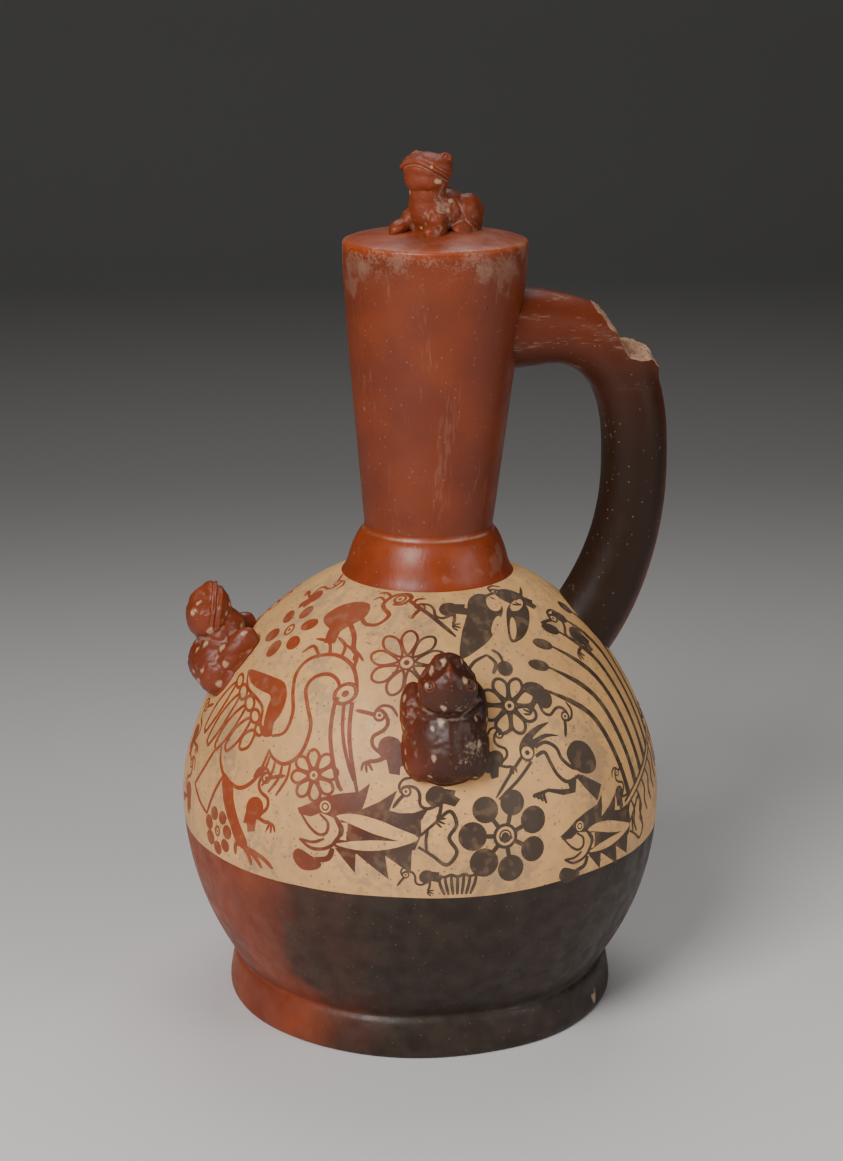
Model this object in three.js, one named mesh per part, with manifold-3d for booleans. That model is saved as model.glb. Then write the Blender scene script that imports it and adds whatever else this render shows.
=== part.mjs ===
// A painted clay bottle in one piece: a round body on a ring foot, a collar, a tapered neck closed by a
// domed disk, a hollow side handle with the stump of a broken spout, and four small frogs.
// Millimetres, +Z up. The origin is at the middle of the foot's underside. The handle is on +X, the frogs
// of the shoulder on -X, -Y and +Y. Every wall is true, and the inner spaces join through the handle.
import * as THREE from 'three';
import { mergeVertices } from 'three/addons/utils/BufferGeometryUtils.js';
import Module from 'manifold-3d';

const wasm = await Module();
wasm.setup();

// Body: two half ovals that meet at the widest height.
const BODY_RADIUS = 85;
const WIDEST_HEIGHT = 73.1;
const UPPER_OVAL = { height: 88, power: 1.8 };
const LOWER_OVAL = { height: 94.1, power: 1.95 };
const BODY_WALL = 5.5;
const INNER_FLOOR_HEIGHT = 13;

// Ring foot, with a flat lip to stand on and a shallow recess inside it.
const FOOT_HEIGHT = 14.6;
const FOOT_RADIUS = 69.2;
const FOOT_WALL = 9;
const FOOT_LIP = 1.5;
const UNDERSIDE_MIDDLE = 6;
const UNDERSIDE_EDGE = 8;

// Collar: its foot is where the body has this radius. Each further point is how far in and how far up.
const COLLAR_RADIUS = 29.6;
const COLLAR_OUTLINE = [[1.3, 2.5], [2.6, 7.5], [4.2, 11.7], [5.4, 14.2]];

// Neck: a cone that turns upright near the disk. Its foot stands inside the collar's rim.
const NECK_FOOT_RADIUS = 22.4;
const NECK_FOOT_RISE = 2.1;
const NECK_TURN_RADIUS = 31.2;
const NECK_TURN_DROP = 16.6;
const NECK_TOP_RADIUS = 32;
const NECK_LENGTH = 99.4;
const NECK_WALL = 5;
const DISK_EDGE = 1.2;
const DISK_RISE = 2.2;
const DISK_WALL = 5;

// The collar sits off the body's axis, and the neck leans on from there towards the handle.
const LEAN_START_DROP = 37;
const LEAN_OFFSET = 2.3;
const LEAN_SLOPE = 0.0203;

// Handle: its middle line lies in the plane y = 0. A squared quarter oval goes out from the neck and down
// to the bend, and a round arc sweeps on from there into the body.
const HANDLE_BELOW_NECK_TOP = 30.6;
const HANDLE_REACH = 41.3;
const HANDLE_BEND_DROP = 50;
const HANDLE_SQUARENESS = 2.8;
const HANDLE_SWEEP_RADIUS = 103;
const HANDLE_ROOT = 9.5;
const HANDLE_RADIUS = 11.5;
const HANDLE_NECK_FLARE = 2.9;
const HANDLE_BODY_FLARE = 1.7;
const FLARE_REACH = 17;
const HANDLE_BORE_RADIUS = 6;

// The lost spout rose from the handle's bend. The break's outline is seen from the front, as steps out and
// up from the spout's axis at the handle's top, and it falls towards the front by the tilt.
const SPOUT_INSET = 3.8;
const SPOUT_RADIUS = 11.6;
const SPOUT_ROOT = 20;
const BREAK_OUTLINE = [[-14, 10.5], [-11, 6.7], [-6, 0.8], [-0.3, -8], [4, -8.8], [8.5, -10.5], [13, -15.5]];
const BREAK_TILT = 0.17;
const BREAK_MARGIN = 20;

// Frogs: every length is a share of the frog's own length. A positive pitch turns the nose down.
const FROG_LENGTH = 38;
const TOP_FROG_LENGTH = 31;
const FROG_SEAT_SHARE = 0.5;
const FROG_TURNS_DEG = [-90, 0, 180];
const TOP_FROG_TURN_DEG = -41.5;
const CLIMBING_FROG = [
  { at: [0.06, 0, 0.06], size: [0.46, 0.34, 0.27] },
  { at: [0.36, 0, 0.16], size: [0.28, 0.27, 0.26], pitchDeg: -35 },
  { at: [0.53, 0, 0.39], size: [0.28, 0.26, 0.21], pitchDeg: -14 },
  { at: [-0.1, 0.25, 0.05], size: [0.27, 0.15, 0.21], mirrored: true },
  { at: [0.49, 0.2, 0.04], size: [0.19, 0.17, 0.17], pitchDeg: 20, mirrored: true },
];
const SITTING_FROG = [
  { at: [-0.12, 0, 0.2], size: [0.43, 0.36, 0.33], pitchDeg: -14 },
  { at: [0.19, 0, 0.36], size: [0.26, 0.29, 0.46], pitchDeg: 6 },
  { at: [0.2, 0, 0.74], size: [0.3, 0.33, 0.21], pitchDeg: -10 },
  { at: [-0.27, 0.27, 0.18], size: [0.26, 0.17, 0.25], mirrored: true },
  { at: [0.35, 0.23, 0.04], size: [0.19, 0.16, 0.13], mirrored: true },
];

// How finely the round forms are cut.
const OUTER_SIDES = 48;
const INNER_SIDES = 36;
const OVAL_STEPS = 8;
const INNER_OVAL_STEPS = 6;
const HANDLE_SIDES = 18;
const HANDLE_STEPS = 22;
const HANDLE_LINE_STEPS = 6;
const BORE_SIDES = 12;
const FROG_SIDES = 10;
const FROG_RINGS = 6;
const WELD_DISTANCE = 1e-4;

const CLAY_LOOK = { color: 0x8c3a22, roughness: 0.42, metalness: 0 };

// The body's radius at a height, drawn in from the outside by an inset.
function bodyRadius(height, inset = 0) {
  const oval = height > WIDEST_HEIGHT ? UPPER_OVAL : LOWER_OVAL;
  const share = Math.abs(height - WIDEST_HEIGHT) / (oval.height - inset);
  return (BODY_RADIUS - inset) * Math.sqrt(Math.max(0, 1 - share ** oval.power));
}

// The height on the upper body at which it has a given radius.
function upperHeightOf(radius, inset = 0) {
  const share = (1 - (radius / (BODY_RADIUS - inset)) ** 2) ** (1 / UPPER_OVAL.power);
  return WIDEST_HEIGHT + share * (UPPER_OVAL.height - inset);
}

const collarFootHeight = upperHeightOf(COLLAR_RADIUS);
const collarRise = COLLAR_OUTLINE[COLLAR_OUTLINE.length - 1][1];
const neckFootHeight = collarFootHeight + collarRise + NECK_FOOT_RISE;
const neckTopHeight = neckFootHeight + NECK_LENGTH;
const neckTurnHeight = neckTopHeight - NECK_TURN_DROP;

// How far the collar and neck stand off the body's axis at a height.
function leanAt(height) {
  const eased = THREE.MathUtils.smoothstep(height, collarFootHeight - LEAN_START_DROP, collarFootHeight);
  return LEAN_OFFSET * eased + Math.max(0, height - collarFootHeight) * LEAN_SLOPE;
}

// How far out from the body's axis the cone of the neck reaches at a height, on the handle's side.
function neckSideAt(height) {
  const share = (height - neckFootHeight) / (neckTurnHeight - neckFootHeight);
  return leanAt(height) + THREE.MathUtils.lerp(NECK_FOOT_RADIUS, NECK_TURN_RADIUS, share);
}

// Turns a geometry with closed walls into a solid: shared corners merged, empty triangles left out.
function solid(geometry) {
  const bare = geometry.clone();
  bare.deleteAttribute('normal');
  bare.deleteAttribute('uv');
  const merged = mergeVertices(bare, WELD_DISTANCE);
  const corners = Array.from(merged.index.array);
  const kept = [];
  for (let i = 0; i < corners.length; i += 3) {
    const [a, b, c] = corners.slice(i, i + 3);
    if (a !== b && b !== c && c !== a) kept.push(a, b, c);
  }
  return new wasm.Manifold(new wasm.Mesh({
    numProp: 3,
    vertProperties: new Float32Array(merged.attributes.position.array),
    triVerts: new Uint32Array(kept),
  }));
}

function geometryOf(manifold) {
  const mesh = manifold.getMesh();
  const geometry = new THREE.BufferGeometry();
  geometry.setAttribute('position', new THREE.BufferAttribute(mesh.vertProperties, 3));
  geometry.setIndex(new THREE.BufferAttribute(mesh.triVerts, 1));
  geometry.computeVertexNormals();
  return geometry;
}

function moveVertices(geometry, rule) {
  const position = geometry.attributes.position;
  const point = new THREE.Vector3();
  for (let i = 0; i < position.count; i += 1) {
    rule(point.fromBufferAttribute(position, i));
    position.setXYZ(i, point.x, point.y, point.z);
  }
  return geometry;
}

// Points on one half of the body between two heights, at even angles around its oval.
function bodyPoints(low, high, steps, inset = 0) {
  const oval = high > WIDEST_HEIGHT ? UPPER_OVAL : LOWER_OVAL;
  const reach = oval.height - inset;
  const [from, to] = [low, high].map((height) => Math.asin((height - WIDEST_HEIGHT) / reach));
  const points = [];
  for (let i = 0; i <= steps; i += 1) {
    const height = WIDEST_HEIGHT + reach * Math.sin(THREE.MathUtils.lerp(from, to, i / steps));
    points.push([bodyRadius(height, inset), height]);
  }
  return points;
}

function turned(profile, sides) {
  const points = profile.map(([radius, height]) => new THREE.Vector2(radius, height));
  const geometry = new THREE.LatheGeometry(points, sides).rotateX(Math.PI / 2);
  return solid(moveVertices(geometry, (point) => { point.x += leanAt(point.z); }));
}

function outerForm() {
  const innerFoot = FOOT_RADIUS - FOOT_WALL;
  return turned([
    [0, UNDERSIDE_MIDDLE],
    [innerFoot - 2 * FOOT_LIP, UNDERSIDE_EDGE],
    [innerFoot, FOOT_LIP],
    [innerFoot + FOOT_LIP, 0],
    [FOOT_RADIUS - FOOT_LIP, 0],
    [FOOT_RADIUS - FOOT_LIP / 4, FOOT_LIP / 2],
    [FOOT_RADIUS, 2 * FOOT_LIP],
    [FOOT_RADIUS - FOOT_LIP / 2, FOOT_HEIGHT / 2],
    [bodyRadius(FOOT_HEIGHT) + FOOT_LIP, FOOT_HEIGHT - FOOT_LIP],
    ...bodyPoints(FOOT_HEIGHT, WIDEST_HEIGHT, OVAL_STEPS),
    ...bodyPoints(WIDEST_HEIGHT, collarFootHeight, OVAL_STEPS).slice(1),
    ...COLLAR_OUTLINE.map(([inward, up]) => [COLLAR_RADIUS - inward, collarFootHeight + up]),
    [NECK_FOOT_RADIUS, neckFootHeight],
    [NECK_TURN_RADIUS, neckTurnHeight],
    [NECK_TOP_RADIUS, neckTopHeight - DISK_EDGE],
    [NECK_TOP_RADIUS - DISK_EDGE, neckTopHeight],
    [NECK_TOP_RADIUS / 2, neckTopHeight + DISK_RISE * 0.75],
    [0, neckTopHeight + DISK_RISE],
  ], OUTER_SIDES);
}

function innerSpace() {
  const throat = NECK_FOOT_RADIUS - NECK_WALL;
  return turned([
    [0, INNER_FLOOR_HEIGHT],
    ...bodyPoints(INNER_FLOOR_HEIGHT, WIDEST_HEIGHT, INNER_OVAL_STEPS, BODY_WALL),
    ...bodyPoints(WIDEST_HEIGHT, upperHeightOf(throat, BODY_WALL), INNER_OVAL_STEPS, BODY_WALL).slice(1),
    [throat, neckFootHeight],
    [NECK_TURN_RADIUS - NECK_WALL, neckTurnHeight],
    [NECK_TOP_RADIUS - NECK_WALL, neckTopHeight - DISK_WALL],
    [0, neckTopHeight + DISK_RISE - DISK_WALL],
  ], INNER_SIDES);
}

const handleTopHeight = neckTopHeight - HANDLE_BELOW_NECK_TOP;
const handleBendHeight = handleTopHeight - HANDLE_BEND_DROP;
const handleOutermost = neckSideAt(handleTopHeight) + HANDLE_REACH;

// The middle line starts inside the neck and ends where the bore is well inside the body's space.
function handleCurve() {
  const neckSide = neckSideAt(handleTopHeight);
  const points = [new THREE.Vector3(neckSide - HANDLE_ROOT, 0, handleTopHeight)];
  for (let i = 1; i <= HANDLE_LINE_STEPS; i += 1) {
    const angle = (i / HANDLE_LINE_STEPS) * Math.PI / 2;
    const out = Math.sin(angle) ** (2 / HANDLE_SQUARENESS);
    const up = Math.cos(angle) ** (2 / HANDLE_SQUARENESS);
    points.push(new THREE.Vector3(neckSide + HANDLE_REACH * out, 0, handleBendHeight + HANDLE_BEND_DROP * up));
  }
  const stepDown = HANDLE_SWEEP_RADIUS / 8;
  let [out, height] = [handleOutermost, handleBendHeight];
  while (out + HANDLE_BORE_RADIUS > bodyRadius(height, BODY_WALL) && height > WIDEST_HEIGHT) {
    height -= stepDown;
    const drop = handleBendHeight - height;
    out = handleOutermost - HANDLE_SWEEP_RADIUS + Math.sqrt(HANDLE_SWEEP_RADIUS ** 2 - drop ** 2);
    points.push(new THREE.Vector3(out, 0, height));
  }
  return new THREE.CatmullRomCurve3(points);
}

const handleLine = handleCurve();

// Bends a straight rod along the handle's middle line, with a radius that changes along the way.
function bentRod(radiusAt, sides) {
  const rod = new THREE.CylinderGeometry(1, 1, 1, sides, HANDLE_STEPS);
  const across = new THREE.Vector3();
  const sideways = new THREE.Vector3(0, 1, 0);
  return solid(moveVertices(rod, (point) => {
    const along = THREE.MathUtils.clamp(0.5 - point.y, 0, 1);
    const radius = radiusAt(along * handleLine.getLength());
    const [u, v] = [point.x * radius, point.z * radius];
    across.crossVectors(sideways, handleLine.getTangentAt(along));
    point.copy(handleLine.getPointAt(along)).addScaledVector(across, u).addScaledVector(sideways, v);
  }));
}

function handleRadius(distance) {
  const toBody = handleLine.getLength() - distance;
  const neckFlare = HANDLE_NECK_FLARE * Math.exp(-((distance / FLARE_REACH) ** 2));
  const bodyFlare = HANDLE_BODY_FLARE * Math.exp(-((toBody / (2 * FLARE_REACH)) ** 2));
  return HANDLE_RADIUS + neckFlare + bodyFlare;
}

const spoutX = handleOutermost - SPOUT_INSET;

function uprightRod(radius, sides) {
  const height = SPOUT_ROOT + BREAK_MARGIN;
  const rod = new THREE.CylinderGeometry(radius, radius, height, sides).rotateX(Math.PI / 2);
  return solid(rod.translate(spoutX, 0, handleTopHeight - SPOUT_ROOT + height / 2));
}

// Everything above the break, as one block to cut away.
function lostSpout() {
  const outline = BREAK_OUTLINE.map(([out, up]) => [spoutX + out, handleTopHeight + up]);
  const [left, right] = [outline[0][0], outline[outline.length - 1][0] + BREAK_MARGIN];
  const top = handleTopHeight + 2 * BREAK_MARGIN;
  outline.push([right, outline[outline.length - 1][1]], [right, top], [left, top]);
  const shape = new THREE.Shape(outline.map(([x, z]) => new THREE.Vector2(x, z)));
  const depth = 2 * BREAK_MARGIN;
  const block = new THREE.ExtrudeGeometry(shape, { depth, steps: 1, bevelEnabled: false });
  block.translate(0, 0, -depth / 2).rotateX(Math.PI / 2);
  return solid(moveVertices(block, (point) => { point.z += BREAK_TILT * point.y; }));
}

// One frog from rounded lumps, head towards +X and seat at z = 0, joined into a solid.
function frog(lumps, length) {
  const parts = [];
  for (const { at, size, pitchDeg = 0, mirrored = false } of lumps) {
    for (const side of mirrored ? [1, -1] : [1]) {
      const lump = new THREE.SphereGeometry(length, FROG_SIDES, FROG_RINGS).rotateX(Math.PI / 2);
      lump.scale(...size).rotateY(THREE.MathUtils.degToRad(pitchDeg));
      lump.translate(at[0] * length, side * at[1] * length, at[2] * length);
      parts.push(solid(lump));
    }
  }
  return wasm.Manifold.union(parts);
}

// A frog that climbs the shoulder: its seat lies on the body, and it is turned around the body's axis.
function shoulderFrog(turnDeg) {
  const seatHeight = WIDEST_HEIGHT + FROG_SEAT_SHARE * UPPER_OVAL.height;
  const run = bodyRadius(seatHeight + 1) - bodyRadius(seatHeight - 1);
  const uphill = new THREE.Vector3(run, 0, 2).normalize();
  const outward = new THREE.Vector3(uphill.z, 0, -uphill.x);
  const sideways = new THREE.Vector3().crossVectors(outward, uphill);
  const place = new THREE.Matrix4().makeBasis(uphill, sideways, outward);
  place.setPosition(bodyRadius(seatHeight), 0, seatHeight);
  const turn = new THREE.Matrix4().makeRotationZ(THREE.MathUtils.degToRad(turnDeg - 90));
  return frog(CLIMBING_FROG, FROG_LENGTH).transform(turn.multiply(place).toArray());
}

// The frog on the disk sits up and looks out past the rim.
function topFrog() {
  const height = neckTopHeight + DISK_RISE * 0.75;
  const place = new THREE.Matrix4().makeRotationZ(THREE.MathUtils.degToRad(TOP_FROG_TURN_DEG - 90));
  place.setPosition(leanAt(height), 0, height);
  return frog(SITTING_FROG, TOP_FROG_LENGTH).transform(place.toArray());
}

function vesselSolid() {
  const walls = wasm.Manifold.union([
    outerForm(),
    bentRod(handleRadius, HANDLE_SIDES),
    uprightRod(SPOUT_RADIUS, HANDLE_SIDES),
    ...FROG_TURNS_DEG.map(shoulderFrog),
    topFrog(),
  ]);
  const spaces = wasm.Manifold.union([
    innerSpace(),
    bentRod(() => HANDLE_BORE_RADIUS, BORE_SIDES),
    uprightRod(HANDLE_BORE_RADIUS, BORE_SIDES),
    lostSpout(),
  ]);
  return walls.subtract(spaces);
}

const vessel = new THREE.Mesh(geometryOf(vesselSolid()), new THREE.MeshStandardMaterial(CLAY_LOOK));
vessel.name = 'vessel';

const object = new THREE.Group();
object.add(vessel);

export default object;
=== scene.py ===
# %% [markdown]
# # A painted clay bottle with frogs
#
# This lesson builds the looks of an old hand-made clay bottle around its fixed model: a round body on a
# ring foot, a tapered neck, a hollow handle whose spout has broken off, four small frogs, and a painted
# band of birds, fish and flowers. Sizes are in millimetres, as a potter would measure them, and every
# finished piece is brought to metres in its mesh.

import math
import random
from bisect import bisect_left

import bmesh
import bpy
import numpy as np
from mathutils import Matrix, Vector, noise

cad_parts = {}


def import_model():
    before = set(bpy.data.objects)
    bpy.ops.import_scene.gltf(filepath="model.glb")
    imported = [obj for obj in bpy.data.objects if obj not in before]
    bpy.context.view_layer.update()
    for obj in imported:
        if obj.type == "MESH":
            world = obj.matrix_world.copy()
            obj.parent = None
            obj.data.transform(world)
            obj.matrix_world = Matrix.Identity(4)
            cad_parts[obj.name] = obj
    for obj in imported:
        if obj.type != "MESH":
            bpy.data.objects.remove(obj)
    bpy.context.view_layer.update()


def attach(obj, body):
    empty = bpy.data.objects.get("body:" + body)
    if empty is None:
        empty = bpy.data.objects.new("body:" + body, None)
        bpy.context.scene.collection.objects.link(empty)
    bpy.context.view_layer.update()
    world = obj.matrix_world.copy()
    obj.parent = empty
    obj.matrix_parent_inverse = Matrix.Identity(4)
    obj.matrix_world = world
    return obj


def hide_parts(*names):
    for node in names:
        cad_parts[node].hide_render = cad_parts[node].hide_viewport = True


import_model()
MM = 0.001

# %% [markdown]
# ## Camera
#
# The photograph was taken from a little left of the front frog and looks down by about 16 degrees. The
# rings of the foot, the disk and the painted band give the distance. A long lens keeps the bottle upright.

# %% Camera
CAMERA_AIM = Vector((0.2, 0.0, 150.4))
CAMERA_DISTANCE = 877.8
CAMERA_AZIMUTH = math.radians(-6.5)
CAMERA_ELEVATION = math.radians(15.8)
CAMERA_ROLL = math.radians(0.15)
PHOTO_SIZE = (843, 1161)
FOCAL_PIXELS = 2495.1
SENSOR_WIDTH = 36.0

level = math.cos(CAMERA_ELEVATION)
away = Vector((math.sin(CAMERA_AZIMUTH) * level, -math.cos(CAMERA_AZIMUTH) * level,
               math.sin(CAMERA_ELEVATION)))
camera_data = bpy.data.cameras.new("camera")
camera_data.sensor_width = SENSOR_WIDTH
camera_data.lens = FOCAL_PIXELS / max(PHOTO_SIZE) * SENSOR_WIDTH
camera = bpy.data.objects.new("camera", camera_data)
bpy.context.collection.objects.link(camera)
turn = (-away).to_track_quat("-Z", "Y").to_matrix().to_4x4() @ Matrix.Rotation(CAMERA_ROLL, 4, "Z")
camera.matrix_world = Matrix.Translation((CAMERA_AIM + away * CAMERA_DISTANCE) * MM) @ turn
bpy.context.scene.camera = camera
print("camera at", [round(v, 3) for v in camera.location], "lens", round(camera_data.lens, 1), "mm")

# %% [markdown]
# ## Light
#
# Burnished clay shows soft, stretched highlights, so it wants large lights. One soft box stands high on
# the left, a weaker one fills from the right, and one above and behind lifts the rims from the ground.

# %% Soft studio lights
LIGHTS = [
    ("key_light", (-0.68, -0.9, 0.95), 0.6, 19.0),
    ("fill_light", (1.05, -0.85, 0.6), 0.7, 5.4),
    ("top_light", (0.1, 0.6, 1.15), 0.7, 4.4),
]
LIGHT_AIM = Vector((0.0, 0.0, 0.13))
WORLD_GREY = 0.55
WORLD_STRENGTH = 0.11

for name, place, size, power in LIGHTS:
    light = bpy.data.lights.new(name, "AREA")
    light.size = size
    light.energy = power
    holder = bpy.data.objects.new(name, light)
    holder.location = place
    holder.rotation_euler = (LIGHT_AIM - Vector(place)).to_track_quat("-Z", "Y").to_euler()
    bpy.context.collection.objects.link(holder)
world = bpy.data.worlds.new("studio")
bpy.context.scene.world = world
world.use_nodes = True
background = world.node_tree.nodes["Background"]
background.inputs["Color"].default_value = (WORLD_GREY, WORLD_GREY, WORLD_GREY, 1.0)
background.inputs["Strength"].default_value = WORLD_STRENGTH
print(len(LIGHTS), "lights")

# %% [markdown]
# ## Writing materials
#
# A material is a small graph of nodes. This helper makes one node, sets its values and joins its inputs
# in one call, so that each finish below reads from top to bottom like a recipe.

# %% Helpers for nodes
def feed(tree, socket, value):
    """Joins a socket to another one, or sets its plain value."""
    if isinstance(value, bpy.types.NodeSocket):
        tree.links.new(value, socket)
    else:
        socket.default_value = value


def put(tree, kind, inputs=None, **settings):
    node = tree.nodes.new(kind)
    for name, value in settings.items():
        setattr(node, name, value)
    for key, value in (inputs or {}).items():
        feed(tree, node.inputs[key], value)
    return node


def maths(tree, operation, *values, clamp=False):
    inputs = dict(enumerate(values))
    return put(tree, "ShaderNodeMath", inputs, operation=operation, use_clamp=clamp).outputs[0]


def times(tree, first, second):
    return maths(tree, "MULTIPLY", first, second)


def plus(tree, first, second, clamp=False):
    return maths(tree, "ADD", first, second, clamp=clamp)


def minus(tree, first, second):
    return maths(tree, "SUBTRACT", first, second)


def rising(tree, mask, least, spread):
    """A value that rises from its least by the spread as the mask goes from 0 to 1."""
    return plus(tree, times(tree, mask, spread), least)


def ramped(tree, value, low, high, smooth=True):
    """Turns a value between low and high into 0 to 1."""
    kind = "SMOOTHSTEP" if smooth else "LINEAR"
    inputs = {"Value": value, "From Min": low, "From Max": high}
    return put(tree, "ShaderNodeMapRange", inputs, interpolation_type=kind).outputs[0]


def over_heights(tree, height, start, end, smooth=True):
    """0 to 1 as the height goes from start to end, in mm."""
    return ramped(tree, height, start * MM, end * MM, smooth)


def mixed(tree, factor, first, second):
    """Mixes two colours by a factor. Slots 6 and 7 are the colour inputs, and output 2 is the colour."""
    return put(tree, "ShaderNodeMix", {0: factor, 6: first, 7: second}, data_type="RGBA").outputs[2]


def coated(tree, ground, coat, mask, share=1.0):
    """Lays a colour over the ground where the mask is, at a share of its full strength."""
    return mixed(tree, times(tree, mask, share), ground, coat)


def noise_value(tree, position, scale, detail):
    inputs = {"Vector": position, "Scale": scale, "Detail": detail}
    return put(tree, "ShaderNodeTexNoise", inputs).outputs[0]


def attribute(tree, name):
    return put(tree, "ShaderNodeAttribute", attribute_name=name).outputs["Fac"]


def height_of(tree, where):
    return put(tree, "ShaderNodeSeparateXYZ", {0: where}).outputs[2]


def stretched(tree, where, scale):
    return put(tree, "ShaderNodeMapping", {"Vector": where, "Scale": scale}).outputs[0]


print("node helpers are ready")

# %% Helpers for node groups
def new_group(name, floats, outputs):
    """A shader node group that takes a position and some numbers, and gives masks or values."""
    tree = bpy.data.node_groups.new(name, "ShaderNodeTree")
    tree.interface.new_socket("Position", in_out="INPUT", socket_type="NodeSocketVector")
    for label, default in floats.items():
        socket = tree.interface.new_socket(label, in_out="INPUT", socket_type="NodeSocketFloat")
        socket.default_value = default
    for label in outputs:
        tree.interface.new_socket(label, in_out="OUTPUT", socket_type="NodeSocketFloat")
    return tree, tree.nodes.new("NodeGroupInput").outputs, tree.nodes.new("NodeGroupOutput").inputs


def use_group(tree, group, position, **values):
    return put(tree, "ShaderNodeGroup", {"Position": position, **values}, node_tree=group).outputs[0]


print("group helpers are ready")

# %% [markdown]
# ## Marks of the fire and of age
#
# Where the fire starved of air, red slip turned brown and then black. That change runs round the bottle,
# not along an outline, so it is one group that every slip shares: it compares the direction from the axis
# with the direction of the smoke. Three more groups give speckles, cloudy tones and chalky crust.

# %% Firecloud group: 0 is clean red, 1 is smoked black
FIRECLOUD_AZIMUTH = math.radians(75)
NOISE_MIDDLE = 0.5
SIDEWAYS = (1.0, 1.0, 0.0)


def make_firecloud():
    floats = {"Shift": 0.0, "Low": -0.3, "High": 0.34, "Ragged": 0.5}
    tree, given, out = new_group("firecloud", floats, ["Mask"])
    flat = put(tree, "ShaderNodeVectorMath", {0: given["Position"], 1: SIDEWAYS}, operation="MULTIPLY")
    way = put(tree, "ShaderNodeVectorMath", {0: flat.outputs[0]}, operation="NORMALIZE")
    smoke = (math.sin(FIRECLOUD_AZIMUTH), -math.cos(FIRECLOUD_AZIMUTH), 0.0)
    facing = put(tree, "ShaderNodeVectorMath", {0: way.outputs[0], 1: smoke}, operation="DOT_PRODUCT")
    uneven = minus(tree, noise_value(tree, given["Position"], scale=26.0, detail=5.0), NOISE_MIDDLE)
    ragged = plus(tree, facing.outputs["Value"], times(tree, uneven, given["Ragged"]))
    level = plus(tree, ragged, given["Shift"])
    tree.links.new(ramped(tree, level, given["Low"], given["High"]), out["Mask"])
    return tree


FIRECLOUD = make_firecloud()
print("made", FIRECLOUD.name)

# %% Speckle, cloud and crust groups
BROAD_SHARE = 0.6
FLECKS_PER_PATCH = 9.0
CRUST_LEVEL = 0.72
CRUST_REACH = 0.35


def make_speckles():
    """Small round grains, as grit and pits show in clay. Density is the share of cells that hold one."""
    tree, given, out = new_group("speckles", {"Scale": 700.0, "Size": 0.25, "Density": 0.3}, ["Mask"])
    cells = put(tree, "ShaderNodeTexVoronoi", {"Vector": given["Position"], "Scale": given["Scale"]})
    chance = put(tree, "ShaderNodeSeparateColor", {0: cells.outputs["Color"]}).outputs[0]
    chosen = maths(tree, "LESS_THAN", chance, given["Density"])
    near = minus(tree, 1.0, ramped(tree, cells.outputs["Distance"], 0.0, given["Size"]))
    tree.links.new(times(tree, chosen, near), out["Mask"])
    return tree


def make_clouds():
    """Soft tones at one scale, stretched to use the whole range from 0 to 1."""
    tree, given, out = new_group("clouds", {"Scale": 60.0, "Detail": 4.0}, ["Value"])
    cloud = noise_value(tree, given["Position"], given["Scale"], given["Detail"])
    tree.links.new(ramped(tree, cloud, low=0.3, high=0.7), out["Value"])
    return tree


def make_crust():
    """Chalky lime left by water: broad patches that break into flecks. Cover is its share of the area."""
    tree, given, out = new_group("crust", {"Cover": 0.3, "Scale": 90.0}, ["Mask"])
    broad = noise_value(tree, given["Position"], given["Scale"], detail=3.0)
    fine = noise_value(tree, given["Position"], times(tree, given["Scale"], FLECKS_PER_PATCH), detail=6.0)
    both = plus(tree, times(tree, broad, BROAD_SHARE), times(tree, fine, 1.0 - BROAD_SHARE))
    edge = minus(tree, CRUST_LEVEL, times(tree, given["Cover"], CRUST_REACH))
    tree.links.new(ramped(tree, minus(tree, both, edge), low=-0.01, high=0.09), out["Mask"])
    return tree


SPECKLES = make_speckles()
CLOUDS = make_clouds()
CRUST = make_crust()
print("made", SPECKLES.name, CLOUDS.name, CRUST.name)

# %% [markdown]
# ## Burnished slip
#
# Slip is a thin coat of liquid clay. Rubbed with a pebble before the firing, it shines softly, and the
# shine runs in faint strokes. The finish mixes red and smoked slip by the firecloud, adds tone, specks and
# crust, and breaks the gloss where the surface is worn. The cream band is another slip, drier and paler.

# %% Slip colours and the shared recipe
RED_SLIP = (0.2, 0.031, 0.009, 1.0)
BRIGHT_SLIP = (0.42, 0.07, 0.012, 1.0)
BROWN_SLIP = (0.07, 0.018, 0.009, 1.0)
BLACK_SLIP = (0.021, 0.0115, 0.0065, 1.0)
DARK_PAINT = (0.06, 0.036, 0.022, 1.0)
CREAM_SLIP = (0.83, 0.45, 0.165, 1.0)
CREAM_SHADE = (0.34, 0.2, 0.1, 1.0)
SMUDGE = (0.25, 0.19, 0.14, 1.0)
CHALK = (0.42, 0.29, 0.2, 1.0)
SPOT_CREAM = (0.52, 0.34, 0.2, 1.0)
PIT = (0.05, 0.03, 0.02, 1.0)


def new_material(name):
    material = bpy.data.materials.new(name)
    material.use_nodes = True
    tree = material.node_tree
    tree.nodes.clear()
    shader = put(tree, "ShaderNodeBsdfPrincipled")
    put(tree, "ShaderNodeOutputMaterial", {"Surface": shader.outputs[0]})
    where = put(tree, "ShaderNodeTexCoord").outputs["Object"]
    return material, tree, shader, where


def dressed(tree, shader, where, colour, rough, grain, sheen=0.5):
    """Gives a shader its colour, roughness, bump and sheen. Grain is what bumped() takes."""
    feed(tree, shader.inputs["Base Color"], colour)
    feed(tree, shader.inputs["Roughness"], rough)
    feed(tree, shader.inputs["Normal"], bumped(tree, where, *grain))
    shader.inputs["Specular IOR Level"].default_value = sheen


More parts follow.
